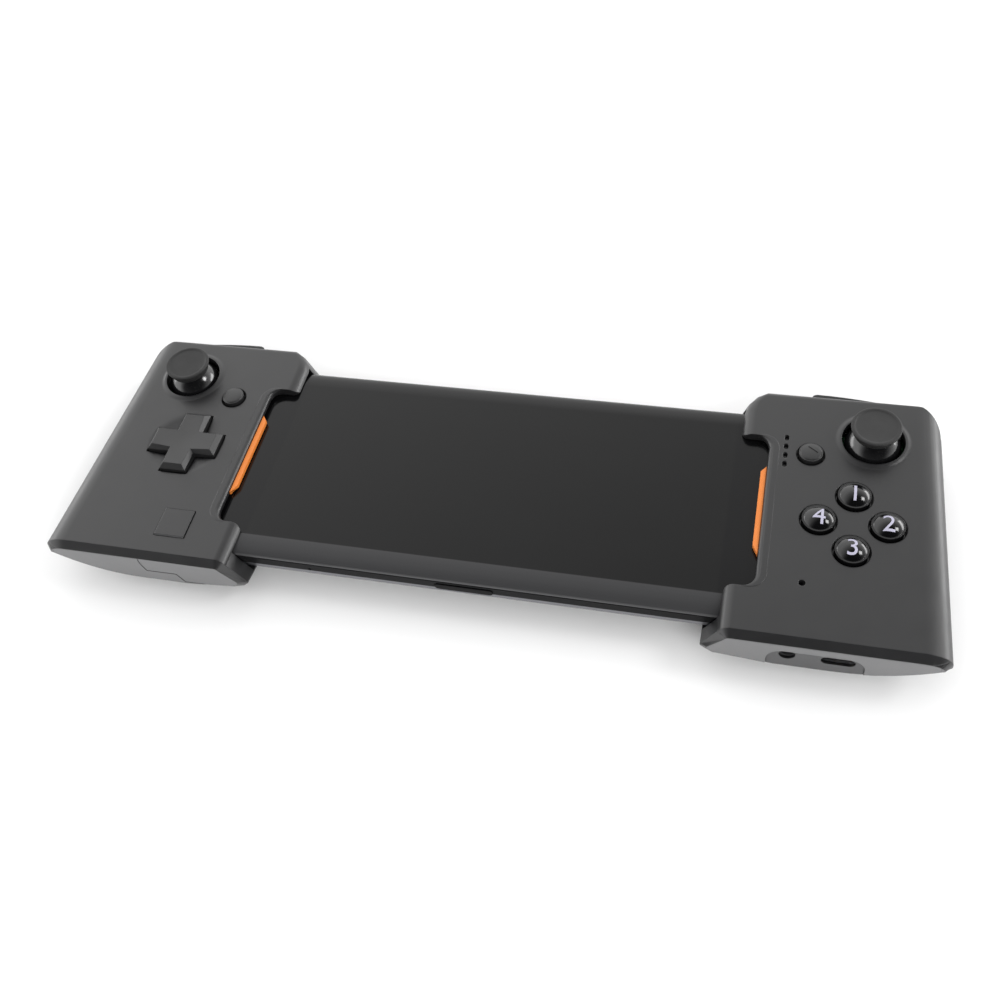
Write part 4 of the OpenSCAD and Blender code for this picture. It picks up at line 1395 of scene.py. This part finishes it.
@dataclass
class PortContacts:
    """The rows of gilt contacts on the tongue of the charging port."""

    count: int = 12
    pitch_mm: float = 0.5
    size_mm: tuple[float, float, float] = (0.26, 4.2, 0.06)
    tongue_mm: float = 0.7
    inset_mm: float = 1.2

    def build(self, shop: Workshop, gold: bpy.types.Material) -> None:
        """Grows one row above and one below the tongue.

        Args:
            shop: The workshop.
            gold: The contacts' finish.
        """
        low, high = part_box("charge_port")
        middle = Vector(((low.x + high.x) / 2, low.y + self.inset_mm * MM, (low.z + high.z) / 2))
        first = middle + Vector((-(self.count - 1) / 2 * self.pitch_mm, self.size_mm[1] / 2, 0)) * MM
        rise = Vector((0, 0, (self.tongue_mm + self.size_mm[2]) / 2 * MM))
        feet = mesh_piece("charge_port_contacts", [first - rise, first + rise], [])
        grow(feet, self.tree(), {"Count": self.count, "Pitch": self.pitch_mm * MM,
                                 "Size": tuple(s * MM for s in self.size_mm), "Finish": gold})
        shop.mount(feet, "right_grip", gold)

    def tree(self) -> bpy.types.NodeTree:
        """Makes the tree that grows a row of flat contacts from each point.

        Returns:
            The tree.
        """
        tree = bpy.data.node_groups.new("contact_row", "GeometryNodeTree")
        given = tree_inputs(tree, {
            "Points": "NodeSocketGeometry", "Count": "NodeSocketInt", "Pitch": "NodeSocketFloat",
            "Size": "NodeSocketVector", "Finish": "NodeSocketMaterial"}).outputs
        step = add_node(tree, "ShaderNodeCombineXYZ", None, {"X": given["Pitch"]})
        row = add_node(tree, "GeometryNodeMeshLine", None,
                       {"Count": given["Count"], "Offset": step.outputs[0]})
        contact = add_node(tree, "GeometryNodeMeshCube", None, {"Size": given["Size"]})
        along = add_node(tree, "GeometryNodeInstanceOnPoints", None,
                         {"Points": row.outputs["Mesh"], "Instance": contact.outputs["Mesh"]})
        place_copies(tree, given, along.outputs["Instances"])
        return tree


# Studio


@dataclass(frozen=True)
class Softbox:
    """A soft rectangular light, with its place, size and aim in metres and its power in watts.

    One that isn't mirrored lights the scene but is seen in no reflection.
    """

    name: str
    place: tuple[float, float, float]
    size: tuple[float, float]
    power: float
    aim: tuple[float, float, float] = (0.0, 0.0, 0.0)
    mirrored: bool = True

    def hang(self) -> None:
        """Adds the light to the scene."""
        light = bpy.data.lights.new(self.name, "AREA")
        light.shape = "RECTANGLE"
        light.size, light.size_y = self.size
        light.energy = self.power
        lamp = bpy.data.objects.new(self.name, light)
        lamp.location = self.place
        lamp.rotation_euler = (Vector(self.aim) - Vector(self.place)).to_track_quat("-Z", "Y").to_euler()
        lamp.visible_glossy = self.mirrored
        lamp.visible_camera = self.mirrored
        bpy.context.scene.collection.objects.link(lamp)


# The key and the fill light the floor; reflections show the sky, the small lamp and the rim lights.
SOFTBOXES = (
    Softbox("key_softbox", (0.0, 0.0, 1.0), (5.0, 5.0), 45.0, mirrored=False),
    Softbox("fill_softbox", (0.9, -1.6, 0.9), (1.6, 1.6), 30.0, mirrored=False),
    Softbox("lamp", (1.15, 0.24, 1.12), (0.4, 0.4), 4.5, aim=(0.08, 0.0, 0.0)),
    Softbox("right_rim_softbox", (1.5, 1.15, 0.3), (1.2, 0.5), 7.0),
    Softbox("left_rim_softbox", (-1.7, 0.6, 0.25), (1.2, 0.4), 3.0),
)


@dataclass
class Studio:
    """The pale floor, the sky, the soft lights and the camera.

    The sky fades towards its dark side, behind the camera, and dims once more towards the front. Each
    fade runs between two cosines of the angle to that direction.
    """

    focal_px: float = 1140.8
    image_px: float = 1000.0
    sensor_mm: float = 36.0
    clip_m: float = 0.01
    eye_mm: tuple[float, float, float] = (76.89, -200.81, 281.27)
    right: tuple[float, float, float] = (0.96983377, 0.21764778, -0.10978116)
    up: tuple[float, float, float] = (-0.1097113, 0.79188228, 0.60073779)
    floor_half_m: float = 4.0
    floor_drop_mm: float = 0.02
    floor_tones: tuple[str, str] = ("f4f4f4", "f6f6f6")
    dark_side: tuple[float, float, float] = (0.33, -0.38, 0.86)
    dark_fade: tuple[float, float] = (0.2, 0.85)
    sky_strength: tuple[float, float] = (1.2, 0.03)
    front: tuple[float, float, float] = (0.1, -0.86, 0.5)
    front_fade: tuple[float, float] = (0.45, 0.8)
    front_share: float = 0.1

    def build(self) -> None:
        """Sets up floor, lights, sky and camera."""
        self.floor()
        for box in SOFTBOXES:
            box.hang()
        self.sky()
        self.camera()
        bpy.context.scene.view_settings.view_transform = "Standard"

    def floor(self) -> None:
        """Lays a wide pale floor with a faint mottle."""
        half, level = self.floor_half_m, -self.floor_drop_mm * MM
        corners = [Vector((x * half, y * half, level)) for x, y in ((-1, -1), (1, -1), (1, 1), (-1, 1))]
        floor = mesh_piece("floor", corners, [(0, 1, 2, 3)])
        # Matt white paper: bright and even, with almost no highlight.
        material, tree, shader, place = new_material("floor_paper_white")
        cloud = add_node(tree, "ShaderNodeTexNoise", {"Scale": 2.0}, {"Vector": place})
        first, second = (linear(tone) for tone in self.floor_tones)
        tone = add_node(tree, "ShaderNodeMix", {"data_type": "RGBA", 6: first, 7: second},
                        {0: cloud.outputs["Fac"]})
        tree.links.new(tone.outputs[2], shader.inputs["Base Color"])
        shader.inputs["Roughness"].default_value = 0.9
        shader.inputs["Specular IOR Level"].default_value = 0.1
        dress(floor, material)

    def sky(self) -> None:
        """Makes a white sky that is bright at the back and dark behind the camera."""
        world = bpy.data.worlds.new("studio_sky")
        bpy.context.scene.world = world
        world.use_nodes = True
        tree = world.node_tree
        background = next(n for n in tree.nodes if n.type == "BACKGROUND")
        background.inputs["Color"].default_value = (1.0, 1.0, 1.0, 1.0)
        way = add_node(tree, "ShaderNodeTexCoord").outputs["Generated"]
        fades = []
        for direction, (start, end), (bright, dim) in (
                (self.dark_side, self.dark_fade, self.sky_strength),
                (self.front, self.front_fade, (1.0, self.front_share))):
            facing = add_node(tree, "ShaderNodeVectorMath", {"operation": "DOT_PRODUCT", 1: direction},
                              {0: way})
            fades.append(add_node(tree, "ShaderNodeMapRange",
                                  {"From Min": start, "From Max": end, "To Min": bright, "To Max": dim},
                                  {"Value": facing.outputs["Value"]}))
        light = add_node(tree, "ShaderNodeMath", {"operation": "MULTIPLY"},
                         {i: fade.outputs["Result"] for i, fade in enumerate(fades)})
        tree.links.new(light.outputs[0], background.inputs["Strength"])

    def camera(self) -> None:
        """Places the camera at the photograph's angle."""
        lens = bpy.data.cameras.new("camera")
        lens.sensor_width = self.sensor_mm
        lens.sensor_fit = "HORIZONTAL"
        lens.lens = self.focal_px * self.sensor_mm / self.image_px
        lens.clip_start = self.clip_m
        eye = bpy.data.objects.new("camera", lens)
        right = Vector(self.right).normalized()
        up = Vector(self.up)
        up = (up - right * up.dot(right)).normalized()
        turn = Matrix((right, up, right.cross(up))).transposed()
        eye.matrix_world = Matrix.Translation(Vector(self.eye_mm) * MM) @ turn.to_4x4()
        bpy.context.scene.collection.objects.link(eye)
        bpy.context.scene.camera = eye


def build_finishes() -> dict[Slot, bpy.types.Material]:
    """Makes every finish once.

    Returns:
        The materials by slot.
    """
    recipes = {
        Slot.SHELL: SHELL_ABS,
        Slot.TRIM: TRIM_SILICONE,
        Slot.BOARD: SOLDER_MASK,
        Slot.KEYPAD: KEYPAD_SILICONE,
        Slot.NYLON: NYLON_BLACK,
        Slot.DOME: DOME_POM,
        Slot.CAP: CAP_TPE,
        Slot.PAD: PAD_ABS,
        Slot.FACE: FACE_PC,
        Slot.TRIGGER: TRIGGER_ABS,
        Slot.STEEL: DRAWN_STEEL,
        Slot.RIBBON: RIBBON_FILM,
        Slot.ACRYLIC: SMOKED_ACRYLIC,
        Slot.PHONE_METAL: BLASTED_ALUMINIUM,
        Slot.PHONE_GLASS: COVER_GLASS,
        Slot.KEY: KEY_BLACK,
    }
    return {slot: recipe.build() for slot, recipe in recipes.items()}


def main() -> None:
    """Builds the dressed controller and its studio."""
    logging.basicConfig(level=logging.INFO, format="%(name)s: %(message)s")
    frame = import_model()
    Studio().build()
    shop = Workshop(frame, build_finishes())
    shop.paint_nodes()
    for side in Side:
        GripMouldings(side).build(shop)
        Thumbstick(side).build(shop)
        TriggerSpring(side).build(shop)
        KeyMat(side).build(shop)
        CaseScrews(side).build(shop, shop.finishes[Slot.STEEL])
    PortContacts().build(shop, GOLD_FLASH.build())
    white, dark = PAD_INK.build(), DARK_INK.build()
    for number, place in enumerate(("north", "east", "south", "west"), start=1):
        FaceButton(f"face_button_{place}", f"face_key_{place}", str(number)).build(shop, white)
    StartMark().build(shop, dark)
    Bridge().build(shop)
    Phone().build(shop)


if __name__ == "__main__":
    main()
